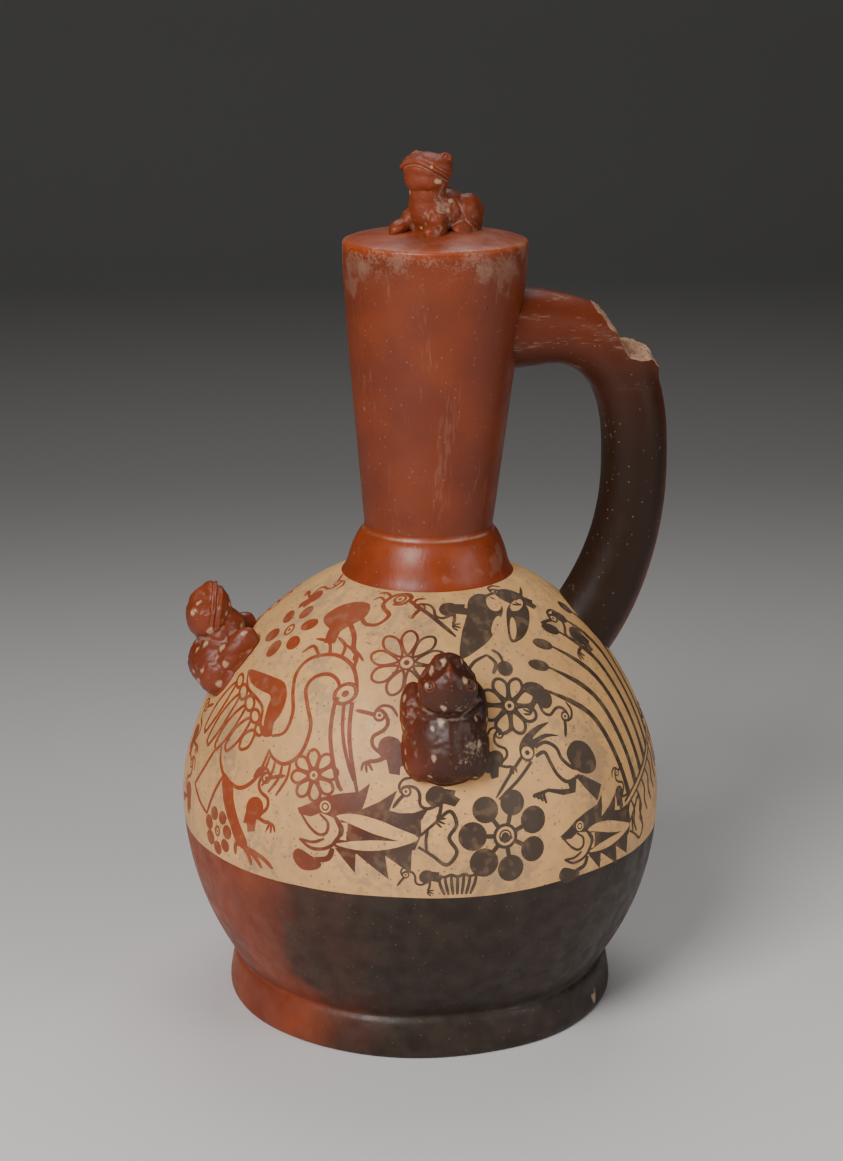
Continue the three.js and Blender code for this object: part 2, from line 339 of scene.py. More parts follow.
def smoked(tree, where, mask, bright=0.0, darkest=BLACK_SLIP):
    """Slip colour from red through brown to the darkest as the mask goes from 0 to 1."""
    tone = use_group(tree, CLOUDS, where, Scale=55.0)
    red = coated(tree, RED_SLIP, BRIGHT_SLIP, tone, share=0.45)
    red = mixed(tree, bright, red, BRIGHT_SLIP)
    half = mixed(tree, ramped(tree, mask, low=0.0, high=0.6, smooth=False), red, BROWN_SLIP)
    return mixed(tree, ramped(tree, mask, low=0.4, high=1.0, smooth=False), half, darkest)


def bumped(tree, where, scale, height, stretch=(1.0, 1.0, 1.0)):
    """A bump from noise. Height is in metres."""
    placed = stretched(tree, where, stretch)
    inputs = {"Vector": placed, "Scale": scale, "Detail": 6.0, "Roughness": 0.6}
    grain = put(tree, "ShaderNodeTexNoise", inputs).outputs[0]
    return put(tree, "ShaderNodeBump", {"Height": grain, "Distance": height, "Strength": 1.0}).outputs[0]


print("slip recipe is ready")

# %% Masks at a place and at a level
PATCH_RAGGED = 3.4
PATCH_CORE = 0.3


def patch(tree, where, centre, size):
    """A ragged round patch at a place given in mm."""
    middle = tuple(part * MM for part in centre)
    away = put(tree, "ShaderNodeVectorMath", {0: where, 1: middle}, operation="DISTANCE").outputs["Value"]
    uneven = minus(tree, noise_value(tree, where, scale=260.0, detail=6.0), NOISE_MIDDLE)
    reach = plus(tree, away, times(tree, uneven, size * PATCH_RAGGED * MM))
    return ramped(tree, reach, size * MM, PATCH_CORE * size * MM)


def ring_at(tree, height, level, width):
    """A soft level line round the bottle at a height in mm."""
    off = maths(tree, "ABSOLUTE", minus(tree, height, level * MM))
    return ramped(tree, off, width * MM, 0.0)


print("mask helpers are ready")

# %% Burnished slip for the neck, handle and frogs
SHEEN = 0.36
SMOKE_ABOVE = 0.4
SMOKE_BELOW = 0.55
CRUST_DULLS = 0.3
SLIP_GRAIN = (420.0, 0.00012, (1.0, 1.0, 0.25))


def make_slip(name, fire, crust_cover, bright, gloss, marks, smoke_range=None, sheen=SHEEN):
    """fire is the firecloud's shift, low and high ends, and smoke_range the heights over which it fades.

    marks adds what only this place shows. It takes the position, the height and the colour so far.
    """
    material, tree, shader, where = new_material(name)
    shift, low, high = fire
    mask = use_group(tree, FIRECLOUD, where, Shift=shift, Low=low, High=high)
    height = height_of(tree, where)
    if smoke_range:
        low_end, high_end = smoke_range
        faded = over_heights(tree, height, high_end, low_end)
        mask = times(tree, mask, rising(tree, faded, least=SMOKE_ABOVE, spread=SMOKE_BELOW))
    colour = marks(tree, where, height, smoked(tree, where, mask, bright))
    crust = use_group(tree, CRUST, where, Cover=crust_cover)
    colour = coated(tree, colour, CHALK, crust, share=0.55)
    flecks = use_group(tree, SPECKLES, where, Scale=620.0, Size=0.28, Density=0.16)
    colour = coated(tree, colour, CHALK, flecks, share=0.4)
    worn = use_group(tree, CLOUDS, where, Scale=140.0, Detail=6.0)
    rough = rising(tree, worn, least=gloss, spread=0.16)
    rough = plus(tree, rough, times(tree, crust, CRUST_DULLS), clamp=True)
    dressed(tree, shader, where, colour, rough, SLIP_GRAIN, sheen)
    return material


print("slips shine at", SHEEN)

# %% What each place adds to its slip
SEAM_LEVEL = 170.4
RIM_LEVEL = 270.3
SHAFT = (172.0, 268.5)
DEPOSITS = [((-26, -10, 257), 6.0), ((-23, -18, 263), 4.0), ((27, -23, 262), 7.0), ((18, -28, 264), 4.5),
            ((24, -17, 160), 5.0), ((17, -24, 160), 2.6), ((6, -28, 158), 2.2), ((26, -12, 163), 3.6)]
NECK_NICK = ((18.7, -27.3, 251.3), 1.1)
SHAFT_FADE = (0.8, 1.5)
RIM_FADE = 0.9
DUST_RANGE = (256.0, 271.0)
SCRATCH_RANGE = (215.0, 236.0)
STREAK_STRETCH = (1.0, 1.0, 0.12)
SCRATCH_STRETCH = (0.15, 1.0, 1.6)
FROG_BROWN = 0.34


def neck_marks(tree, where, height, colour):
    """A browner shaft, painted highlights round the rim and along the seam above the collar, and lime near
    the rim and the collar.
    """
    foot, top = SHAFT
    foot_fade, top_fade = SHAFT_FADE
    shaft = times(tree, over_heights(tree, height, foot - foot_fade, foot),
                  over_heights(tree, height, top, top - top_fade))
    colour = coated(tree, colour, BROWN_SLIP, shaft, share=0.42)
    # Painted highlight: a band of brighter slip round the disk's rounded rim.
    colour = coated(tree, colour, BRIGHT_SLIP, ring_at(tree, height, RIM_LEVEL, width=1.1), share=0.6)
    streaks = use_group(tree, CRUST, stretched(tree, where, STREAK_STRETCH), Cover=0.42, Scale=130.0)
    colour = coated(tree, colour, CHALK, times(tree, streaks, shaft), share=0.13)
    below_rim = over_heights(tree, height, RIM_LEVEL + RIM_FADE, RIM_LEVEL)
    near_rim = times(tree, over_heights(tree, height, *DUST_RANGE),
                     rising(tree, below_rim, least=0.4, spread=0.6))
    dust = use_group(tree, CRUST, where, Cover=0.75, Scale=120.0)
    colour = coated(tree, colour, CHALK, times(tree, dust, near_rim), share=0.3)
    # Painted highlight: a patchy pale line along the seam ridge above the collar.
    seam = times(tree, ring_at(tree, height, SEAM_LEVEL, width=0.7),
                 use_group(tree, CLOUDS, where, Scale=120.0))
    colour = coated(tree, colour, CHALK, seam, share=0.6)
    for centre, size in DEPOSITS:
        colour = coated(tree, colour, CHALK, patch(tree, where, centre, size), share=0.17)
    return coated(tree, colour, PIT, patch(tree, where, *NECK_NICK))


def handle_marks(tree, where, height, colour):
    """The handle's outer side, where the light falls, is painted redder, and old scratches show pale near
    the neck.
    """
    # Painted light: the outer side of the handle, which faces the light, is painted redder.
    lit_outer_side = ramped(tree, attribute(tree, "outer"), low=0.84, high=1.0)
    colour = coated(tree, colour, RED_SLIP, lit_outer_side, share=0.4)
    scratches = use_group(tree, CRUST, stretched(tree, where, SCRATCH_STRETCH), Cover=0.5, Scale=170.0)
    upper = over_heights(tree, height, *SCRATCH_RANGE)
    return coated(tree, colour, CHALK, times(tree, scratches, upper), share=0.3)


def frog_marks(tree, where, height, colour):
    """Browner clay with worn ridges, lime in the hollows, and the brushed cream spots."""
    hollow = attribute(tree, "hollow")
    colour = mixed(tree, FROG_BROWN, colour, BROWN_SLIP)
    colour = coated(tree, colour, BRIGHT_SLIP, ramped(tree, hollow, low=0.36, high=0.0), share=0.25)
    colour = coated(tree, colour, CHALK, ramped(tree, hollow, low=0.75, high=1.0), share=0.35)
    return coated(tree, colour, SPOT_CREAM, attribute(tree, "spot"), share=0.8)


NECK_SLIP = make_slip("neck_slip", fire=(-0.9, -0.5, 2.4), crust_cover=0.2, bright=0.1, gloss=0.3,
                      marks=neck_marks)
HANDLE_SLIP = make_slip("handle_slip", fire=(0.3, -0.3, 0.34), crust_cover=0.14, bright=0.0, gloss=0.34,
                        marks=handle_marks, smoke_range=(192.0, 246.0), sheen=0.2)
FROG_SLIP = make_slip("frog_slip", fire=(0.0, -0.1, 0.5), crust_cover=0.3, bright=0.0, gloss=0.36,
                      marks=frog_marks)
TOP_FROG_SLIP = make_slip("top_frog_slip", fire=(-2.0, -0.3, 0.34), crust_cover=0.45, bright=0.0, gloss=0.4,
                          marks=frog_marks)
print("made", NECK_SLIP.name, HANDLE_SLIP.name, FROG_SLIP.name, TOP_FROG_SLIP.name)

# %% Painted slip of the figures, and the two grounds of the body
BAND_BOTTOM = 66.1
BAND_WAVE = 1.1
BAND_EDGE = 0.08
BODY_SMOKE = 0.1
BODY_GRAIN = (380.0, 0.00016)
PAINT_GRAIN = (500.0, 0.0001)
BROKEN_GRAIN = (900.0, 0.0006)
FIGURE_SMOKE_RANGE = (80.0, 155.0)
FIGURE_SMOKE_LOW = 0.28
FIGURE_SMOKE_LOSS = 0.42
BROKEN_TAN = (0.34, 0.16, 0.085, 1.0)
BROKEN_PALE = (0.5, 0.3, 0.19, 1.0)
FOOT_CHIP = ((58.3, -36.5, 5.5), 2.4)


def make_figure_slip():
    """Slip brushed thin: the cream shows through it, and the smoke reached the lower figures first."""
    material, tree, shader, where = new_material("figure_slip")
    climb = over_heights(tree, height_of(tree, where), *FIGURE_SMOKE_RANGE, smooth=False)
    shift = minus(tree, FIGURE_SMOKE_LOW, times(tree, climb, FIGURE_SMOKE_LOSS))
    mask = use_group(tree, FIRECLOUD, where, Shift=shift, Low=-0.25, High=0.5)
    colour = smoked(tree, where, mask, bright=0.3, darkest=DARK_PAINT)
    worn = use_group(tree, CLOUDS, where, Scale=260.0, Detail=8.0)
    colour = coated(tree, colour, CREAM_SHADE, ramped(tree, worn, low=0.5, high=1.0), share=0.26)
    broad = use_group(tree, CLOUDS, where, Scale=48.0, Detail=3.0)
    colour = coated(tree, colour, SMUDGE, broad, share=0.14)
    rough = rising(tree, worn, least=0.46, spread=0.2)
    dressed(tree, shader, where, colour, rough, PAINT_GRAIN, SHEEN)
    return material


def cream_colour(tree, where):
    broad = use_group(tree, CLOUDS, where, Scale=24.0, Detail=3.0)
    fine = use_group(tree, CLOUDS, where, Scale=210.0, Detail=8.0)
    colour = coated(tree, CREAM_SLIP, CREAM_SHADE, broad, share=0.3)
    colour = coated(tree, colour, CREAM_SHADE, fine, share=0.26)
    stain = use_group(tree, CRUST, where, Cover=0.56, Scale=42.0)
    colour = coated(tree, colour, SMUDGE, stain, share=0.42)
    grime = use_group(tree, CRUST, where, Cover=0.42, Scale=150.0)
    colour = coated(tree, colour, SMUDGE, grime, share=0.4)
    pits = use_group(tree, SPECKLES, where, Scale=560.0, Size=0.3, Density=0.42)
    return coated(tree, colour, PIT, pits, share=0.85)


def make_body_clay():
    material, tree, shader, where = new_material("body_clay")
    mask = use_group(tree, FIRECLOUD, where, Shift=0.28, Ragged=0.75)
    dark = smoked(tree, where, plus(tree, mask, BODY_SMOKE, clamp=True))
    rubbed = use_group(tree, CLOUDS, where, Scale=150.0, Detail=8.0)
    dark = coated(tree, dark, CHALK, rubbed, share=0.045)
    flecks = use_group(tree, SPECKLES, where, Scale=520.0, Size=0.22, Density=0.3)
    dark = coated(tree, dark, CREAM_SHADE, flecks, share=0.4)
    wave = minus(tree, noise_value(tree, where, scale=22.0, detail=2.0), NOISE_MIDDLE)
    waved = plus(tree, height_of(tree, where), times(tree, wave, 2 * BAND_WAVE * MM))
    above = minus(tree, waved, BAND_BOTTOM * MM)
    in_band = ramped(tree, above, -BAND_EDGE * MM, BAND_EDGE * MM)
    colour = mixed(tree, in_band, dark, cream_colour(tree, where))
    colour = coated(tree, colour, CHALK, patch(tree, where, *FOOT_CHIP), share=0.85)
    worn = use_group(tree, CLOUDS, where, Scale=170.0, Detail=7.0)
    rough = rising(tree, worn, least=0.4, spread=0.18)
    dressed(tree, shader, where, colour, rough, BODY_GRAIN, SHEEN)
    return material


def make_cream_slip():
    material, tree, shader, where = new_material("cream_slip")
    dressed(tree, shader, where, cream_colour(tree, where), rough=0.5, grain=BODY_GRAIN)
    return material


def make_broken_clay():
    """The inside of the wall, where it broke: pinkish tan, dry and gritty, with dark holes."""
    material, tree, shader, where = new_material("broken_clay")
    tone = use_group(tree, CLOUDS, where, Scale=320.0, Detail=6.0)
    colour = mixed(tree, tone, BROKEN_TAN, BROKEN_PALE)
    holes = use_group(tree, SPECKLES, where, Scale=900.0, Size=0.4, Density=0.35)
    colour = coated(tree, colour, PIT, holes, share=0.8)
    dressed(tree, shader, where, colour, rough=0.9, grain=BROKEN_GRAIN)
    return material


FIGURE_SLIP = make_figure_slip()
BODY_CLAY = make_body_clay()
CREAM_PAINT = make_cream_slip()
BROKEN_CLAY = make_broken_clay()
print("made", FIGURE_SLIP.name, BODY_CLAY.name, CREAM_PAINT.name, BROKEN_CLAY.name)

# %% [markdown]
# ## The bottle's main lines
#
# The body is two half ovals that meet at the widest height. The same few sizes as in the fixed model give
# its radius at any height, and everything that sits on the body, down to the paint, reads them too.

# %% Sizes of the turned form, in millimetres
BODY_RADIUS = 85.0
WIDEST_HEIGHT = 73.1
UPPER_HEIGHT, UPPER_POWER = 88.0, 1.8
LOWER_HEIGHT, LOWER_POWER = 94.1, 1.95
BODY_WALL = 5.5
INNER_FLOOR = 13.0
FOOT_HEIGHT = 14.6
FOOT_RADIUS = 69.2
FOOT_WALL = 9.0
FOOT_LIP = 1.5
COLLAR_RADIUS = 29.6
NECK_FOOT_RADIUS = 22.4
NECK_TURN_RADIUS = 31.2
NECK_TURN_DROP = 16.6
NECK_TOP_RADIUS = 32.0
NECK_LENGTH = 99.4
NECK_WALL = 5.0
COLLAR_RISE = 14.2
NECK_FOOT_RISE = 2.1
LEAN_START_DROP = 37.0
LEAN_OFFSET = 2.3
LEAN_SLOPE = 0.0203


def body_radius(height, inset=0.0):
    oval, power = (UPPER_HEIGHT, UPPER_POWER) if height > WIDEST_HEIGHT else (LOWER_HEIGHT, LOWER_POWER)
    share = abs(height - WIDEST_HEIGHT) / (oval - inset)
    return (BODY_RADIUS - inset) * math.sqrt(max(0.0, 1.0 - share ** power))


def upper_height_of(radius, inset=0.0):
    share = (1.0 - (radius / (BODY_RADIUS - inset)) ** 2) ** (1.0 / UPPER_POWER)
    return WIDEST_HEIGHT + share * (UPPER_HEIGHT - inset)


COLLAR_FOOT = upper_height_of(COLLAR_RADIUS)
NECK_FOOT = COLLAR_FOOT + COLLAR_RISE + NECK_FOOT_RISE
NECK_TOP = NECK_FOOT + NECK_LENGTH
NECK_TURN = NECK_TOP - NECK_TURN_DROP


def eased(share):
    share = min(1.0, max(0.0, share))
    return share * share * (3.0 - 2.0 * share)


def lean(height):
    """How far the collar and neck stand off the body's axis, towards the handle."""
    start = eased((height - COLLAR_FOOT + LEAN_START_DROP) / LEAN_START_DROP)
    return LEAN_OFFSET * start + max(0.0, height - COLLAR_FOOT) * LEAN_SLOPE


print("collar starts at", round(COLLAR_FOOT, 1), "and the neck ends at", round(NECK_TOP, 1))

# %% [markdown]
# ## Turned pieces
#
# Body and neck are spun from a profile, as the potter's coils were smoothed round. A spin is the right
# tool: it keeps the wall true and gives even faces. A little noise then takes away the body's machine
# roundness, because nothing on the real bottle ran on a wheel.

# %% Spin helpers and the finishing of a piece
SPIN_STEPS = 216
HAND_WOBBLE = 0.45
HAND_SCALE = 34.0
AXIS_REACH = 40.0


def oval_points(low, high, steps, inset=0.0):
    """Points of the body's profile between two heights on one side of the widest."""
    oval = (UPPER_HEIGHT if high > WIDEST_HEIGHT else LOWER_HEIGHT) - inset
    first, last = (math.asin((height - WIDEST_HEIGHT) / oval) for height in (low, high))
    angles = [first + (last - first) * i / steps for i in range(steps + 1)]
    heights = [WIDEST_HEIGHT + oval * math.sin(angle) for angle in angles]
    return [(body_radius(height, inset), height) for height in heights]


def spun(profile):
    bm = bmesh.new()
    verts = [bm.verts.new((radius, 0.0, height)) for radius, height in profile]
    edges = [bm.edges.new(pair) for pair in zip(verts, verts[1:])]
    bmesh.ops.spin(bm, geom=verts + edges, cent=(0, 0, 0), axis=(0, 0, 1), dvec=(0, 0, 0),
                   angle=2 * math.pi, steps=SPIN_STEPS, use_merge=True, use_duplicate=False)
    bmesh.ops.remove_doubles(bm, verts=bm.verts[:], dist=0.001)
    return bm


def wobble(point):
    """How far the hand-smoothed wall stands in or out at a point of the body."""
    return HAND_WOBBLE * noise.noise(Vector(point) / HAND_SCALE)


def shaped_by_hand(bm):
    for vert in bm.verts:
        away = Vector((vert.co.x, vert.co.y, 0.0))
        if away.length > 1.0:
            vert.co += away.normalized() * wobble(vert.co) * min(1.0, away.length / AXIS_REACH)
        vert.co.x += lean(vert.co.z)


def as_object(bm, name, materials):
    bmesh.ops.recalc_face_normals(bm, faces=bm.faces[:])
    mesh = bpy.data.meshes.new(name)
    bm.to_mesh(mesh)
    bm.free()
    for material in materials:
        mesh.materials.append(material)
    piece = bpy.data.objects.new(name, mesh)
    bpy.context.collection.objects.link(piece)
    return piece


def verts_of(items):
    return [item for item in items if isinstance(item, bmesh.types.BMVert)]


def extruded(bm, edges):
    """Extrudes the edges, and gives the new edges and the new verts."""
    moved = bmesh.ops.extrude_edge_only(bm, edges=edges)["geom"]
    return [item for item in moved if isinstance(item, bmesh.types.BMEdge)], verts_of(moved)


def apply_modifiers(piece):
    graph = bpy.context.evaluated_depsgraph_get()
    done = bpy.data.meshes.new_from_object(piece.evaluated_get(graph))
    piece.modifiers.clear()
    piece.data = done
    return piece


def flowed_together(piece, voxel, smoothing):
    """Remeshes overlapping lumps into one skin and smooths it."""
    remesh = piece.modifiers.new("remesh", "REMESH")
    remesh.mode = "VOXEL"
    remesh.voxel_size = voxel
    smooth = piece.modifiers.new("smooth", "SMOOTH")
    smooth.iterations = smoothing
    return apply_modifiers(piece)


def store(mesh, name, values):
    layer = mesh.attributes.new(name, "FLOAT", "POINT")
    layer.data.foreach_set("value", np.asarray(values, dtype=np.float32))


def finished(piece):
    """Brings a piece from millimetres to metres and attaches it to the root body."""
    piece.data.transform(Matrix.Scale(MM, 4))
    piece.data.shade_smooth()
    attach(piece, "root")
    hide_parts("vessel")
    triangles = sum(len(face.vertices) - 2 for face in piece.data.polygons)
    print(piece.name, triangles, "triangles")
    return piece


print("turning helpers are ready")

# %% Body with its ring foot
FOOT_INNER = FOOT_RADIUS - FOOT_WALL
THROAT = NECK_FOOT_RADIUS - NECK_WALL
INNER_THROAT = THROAT + 2
SHOULDER_INSET = 3
FOOT_STEP = 0.4
FOOT_PROFILE = [(0.0, 6.0), (30.0, 6.6), (FOOT_INNER - 6, 7.8), (FOOT_INNER - 3, 7.6),
                (FOOT_INNER - 1.2, 5.0), (FOOT_INNER, FOOT_LIP), (FOOT_INNER + 0.6, 0.4),
                (FOOT_INNER + FOOT_LIP, 0.0), (FOOT_RADIUS - FOOT_LIP, 0.0), (FOOT_RADIUS - 0.6, 0.3),
                (FOOT_RADIUS - 0.1, 1.0), (FOOT_RADIUS, 2.2), (FOOT_RADIUS - 0.1, 4.0),
                (FOOT_RADIUS - 0.6, 7.0), (FOOT_RADIUS - 1.1, 10.0), (FOOT_RADIUS - 1.7, 12.2),
                (FOOT_RADIUS - 2.4, 13.6), (FOOT_RADIUS - 3.0, 14.1)]


def make_body():
    """The outer wall from the foot's middle up to the collar, and the inner wall back down to the axis."""
    shoulder = upper_height_of(COLLAR_RADIUS - SHOULDER_INSET)
    inner_shoulder = upper_height_of(INNER_THROAT, BODY_WALL)
    bm = spun([
        *FOOT_PROFILE,
        *oval_points(FOOT_HEIGHT + FOOT_STEP, WIDEST_HEIGHT, steps=34),
        *oval_points(WIDEST_HEIGHT, shoulder, steps=44)[1:],
        (INNER_THROAT, shoulder),
        *reversed(oval_points(WIDEST_HEIGHT, inner_shoulder, 14, BODY_WALL)),
        *reversed(oval_points(INNER_FLOOR, WIDEST_HEIGHT, 12, BODY_WALL)[:-1]),
        (0.0, INNER_FLOOR),
    ])
    shaped_by_hand(bm)
    return as_object(bm, "body_shell", [BODY_CLAY])


body = make_body()
print("body stands", round(max(v.co.z for v in body.data.vertices), 1), "mm high")

# %% [markdown]
# ## Collar, neck and disk
#
# The neck was made apart and set into a collar, and the seam between them was left as a low ridge. It is
# another spun wall, closed by a slightly domed disk, and it leans towards the handle by a degree.

# %% Neck
NECK_PROFILE = [
    (COLLAR_RADIUS + 2.2, COLLAR_FOOT - 2.2), (COLLAR_RADIUS + 0.7, COLLAR_FOOT - 0.4),
    (COLLAR_RADIUS - 0.3, COLLAR_FOOT + 1.0), (COLLAR_RADIUS - 1.3, COLLAR_FOOT + 3.2),
    (COLLAR_RADIUS - 2.0, COLLAR_FOOT + 5.8), (COLLAR_RADIUS - 2.9, COLLAR_FOOT + 8.6),
    (COLLAR_RADIUS - 4.0, COLLAR_FOOT + 11.2), (COLLAR_RADIUS - 4.9, COLLAR_FOOT + 13.0),
    (COLLAR_RADIUS - 5.4, COLLAR_FOOT + 13.8), (COLLAR_RADIUS - 6.1, COLLAR_FOOT + 14.6),
    (NECK_FOOT_RADIUS + 0.3, COLLAR_FOOT + 15.3), (NECK_FOOT_RADIUS, NECK_FOOT + 1.0),
]
NECK_STEPS = 30
DISK_EDGE_STEPS = 5
DISK_EDGE = 1.3
DISK_RISE = 3.6
INNER_TOP_DROP = 5.0
NECK_TENON = 4.0
NECK_START = 1.0
DISK_EDGE_TURN = 80.0
DISK_SHARES = (0.94, 0.85, 0.7, 0.5, 0.25, 0.0)
DISK_FLATNESS = 0.8
TURN_DIP = 0.45
TURN_WIDTH = 1.6


def neck_radius(height):
    """A cone up to the turn, then a gentle bend to upright."""
    share = (height - NECK_FOOT) / (NECK_TURN - NECK_FOOT)
    cone = NECK_FOOT_RADIUS + (NECK_TURN_RADIUS - NECK_FOOT_RADIUS) * share
    return min(cone, NECK_TOP_RADIUS) - TURN_DIP * math.exp(-((cone - NECK_TOP_RADIUS) / TURN_WIDTH) ** 2)


def make_neck():
    start = NECK_FOOT + NECK_START
    rise = NECK_TOP - DISK_EDGE - start
    heights = [start + rise * i / NECK_STEPS for i in range(1, NECK_STEPS + 1)]
    cone = [(neck_radius(height), height) for height in heights]
    edge = []
    for i in range(1, DISK_EDGE_STEPS + 1):
        angle = math.radians(DISK_EDGE_TURN * i / DISK_EDGE_STEPS)
        in_by, down_by = DISK_EDGE * (1 - math.cos(angle)), DISK_EDGE * (1 - math.sin(angle))
        edge.append((cone[-1][0] - in_by, NECK_TOP - down_by))
    rim = edge[-1][0]
    disk = [(rim * share, NECK_TOP + DISK_RISE * (1 - share ** 2) ** DISK_FLATNESS)
            for share in DISK_SHARES]
    inner = [
        (0.0, NECK_TOP + DISK_RISE - INNER_TOP_DROP),
        (NECK_TOP_RADIUS - NECK_WALL, NECK_TOP - INNER_TOP_DROP),
        (NECK_TURN_RADIUS - NECK_WALL, NECK_TURN),
        (THROAT, NECK_FOOT),
        (THROAT, COLLAR_FOOT - NECK_TENON),
        (COLLAR_RADIUS - 1.5, COLLAR_FOOT - NECK_TENON),
    ]
    bm = spun([*NECK_PROFILE, *cone, *edge, *disk, *inner, NECK_PROFILE[0]])
    for vert in bm.verts:
        vert.co.x += lean(vert.co.z)
    return as_object(bm, "neck", [NECK_SLIP])


neck = make_neck()
print("neck reaches", round(max(v.co.z for v in neck.data.vertices), 1), "mm")

# %% [markdown]
# ## Handle
#
# The handle is a hollow tube: liquid ran through it from the body to the spout. Its middle line is a
# squared quarter oval and then a wide arc. A filled circle is extruded along that line, station by
# station, which gives a closed rod whose radius can swell where it joins the neck.

# %% Middle line and rods
HANDLE_DROP = 30.6
HANDLE_TOP = NECK_TOP - HANDLE_DROP
HANDLE_REACH = 41.3
HANDLE_BEND_DROP = 50.0
HANDLE_SQUARENESS = 2.8
HANDLE_SWEEP = 103.0
HANDLE_ROOT = 5.2
HANDLE_RADIUS = 11.5
HANDLE_BORE = 6.0
NECK_FLARE = 2.9
BODY_FLARE = 1.7
FLARE_REACH = 17.0
HANDLE_END_HEIGHT = 129.0
BEND_STEPS = 24
LEG_STEPS = 16
STATION_GAP = 3.0


def handle_line():
    side = lean(HANDLE_TOP) + neck_radius(HANDLE_TOP)
    bend = HANDLE_TOP - HANDLE_BEND_DROP
    points = [Vector((side - HANDLE_ROOT, 0.0, HANDLE_TOP))]
    for i in range(BEND_STEPS + 1):
        angle = i / BEND_STEPS * math.pi / 2
        out = math.sin(angle) ** (2 / HANDLE_SQUARENESS)
        up = math.cos(angle) ** (2 / HANDLE_SQUARENESS)
        points.append(Vector((side + HANDLE_REACH * out, 0.0, bend + HANDLE_BEND_DROP * up)))
    for i in range(1, LEG_STEPS + 1):
        drop = (bend - HANDLE_END_HEIGHT) * i / LEG_STEPS
        out = side + HANDLE_REACH - HANDLE_SWEEP + math.sqrt(HANDLE_SWEEP ** 2 - drop ** 2)
        points.append(Vector((out, 0.0, bend - drop)))
    return points


def evenly(points, step):
    """The same path with points at even steps."""
    lengths = [0.0]
    for a, b in zip(points, points[1:]):
        lengths.append(lengths[-1] + (b - a).length)
    count = max(1, round(lengths[-1] / step))
    path = []
    for i in range(count + 1):
        target = lengths[-1] * i / count
        k = min(len(points) - 2, max(0, bisect_left(lengths, target) - 1))
        share = (target - lengths[k]) / max(1e-9, lengths[k + 1] - lengths[k])
        path.append(points[k].lerp(points[k + 1], share))
    return path


def station(path, i, radius):
    """The place, turn and size of the rod's section at one point of its path, in the plane y = 0."""
    along = (path[min(i + 1, len(path) - 1)] - path[max(i - 1, 0)]).normalized()
    across = Vector((0.0, 1.0, 0.0)).cross(along)
    turn = Matrix((across, (0.0, 1.0, 0.0), along)).transposed().to_4x4()
    return Matrix.Translation(path[i]) @ turn @ Matrix.Scale(radius, 4)


def rod(path, radius_at, sides):
    bm = bmesh.new()
    placed = station(path, 0, radius_at(0.0))
    bmesh.ops.create_circle(bm, cap_ends=False, segments=sides, radius=1.0, matrix=placed)
    ring = bm.edges[:]
    for i in range(1, len(path)):
        ring, verts = extruded(bm, ring)
        following = station(path, i, radius_at(i / (len(path) - 1)))
        bmesh.ops.transform(bm, matrix=following @ placed.inverted(), verts=verts)
        placed = following
    bmesh.ops.holes_fill(bm, edges=[edge for edge in bm.edges if edge.is_boundary], sides=0)
    return bm


def handle_radius(share):
    length = sum((b - a).length for a, b in zip(HANDLE_PATH, HANDLE_PATH[1:]))
    from_neck, from_body = share * length, (1 - share) * length
    swell = NECK_FLARE * math.exp(-((from_neck / FLARE_REACH) ** 2))
    return HANDLE_RADIUS + swell + BODY_FLARE * math.exp(-((from_body / (2 * FLARE_REACH)) ** 2))


HANDLE_PATH = evenly(handle_line(), STATION_GAP)
print("handle line has", len(HANDLE_PATH), "stations")

# %% [markdown]
# ## Broken spout
#
# The spout rose from the handle's bend, and only a torn stump is left. The handle and the stump are joined
# and remeshed, so that they flow into each other like one lump of clay. Only then is the break cut with a
# rough block, because a remesh would round its sharp edge. The block carries the broken clay's material,
# and the cut faces take it over.

# %% Handle with its stump, bore and break
SPOUT_INSET = 3.8
SPOUT_X = lean(HANDLE_TOP) + neck_radius(HANDLE_TOP) + HANDLE_REACH - SPOUT_INSET
SPOUT_RADIUS = 11.6
SPOUT_ROOT = 20.0
HANDLE_VOXEL = 0.62
BREAK_OUTLINE = [(-16, 13.5), (-11.5, 7.2), (-6, 0.8), (-0.3, -8), (4, -8.8), (8.5, -10.3), (13, -16)]
BREAK_TILT = 0.17
BREAK_GRAIN = 0.9
BREAK_LUMPS = [(5.0, 1.0), (2.1, 0.6), (1.0, 0.35)]
BREAK_SIDE_GRAIN, BREAK_SIDE_LUMP, BREAK_SIDE_SHIFT = 0.45, 2.7, Vector((9, 4, 2))
BREAK_DEPTH = 20.0
BREAK_STEP = 0.8
BREAK_POINT_GAP = 0.7
BLOCK_HEIGHT = 40
STUMP_RISE = 14
SPOUT_BORE_RISE = 16
ROD_SIDES = 48
BORE_SIDES = 28
HANDLE_SMOOTHING = 14
BORE_PAST_NECK = Vector((6, 0, 0))
BORE_PAST_BODY = Vector((-3, 0, -5))


def upright_rod(name, material, radius, rise, sides):
    """A straight rod on the spout's axis, from below the bend to so far above the handle's top."""
    low, high = HANDLE_TOP - SPOUT_ROOT, HANDLE_TOP + rise
    bm = bmesh.new()
    middle = Matrix.Translation((SPOUT_X, 0.0, (low + high) / 2))
    bmesh.ops.create_cone(bm, cap_ends=True, segments=sides, radius1=radius, radius2=radius,
                          depth=high - low, matrix=middle)
    return as_object(bm, name, [material])


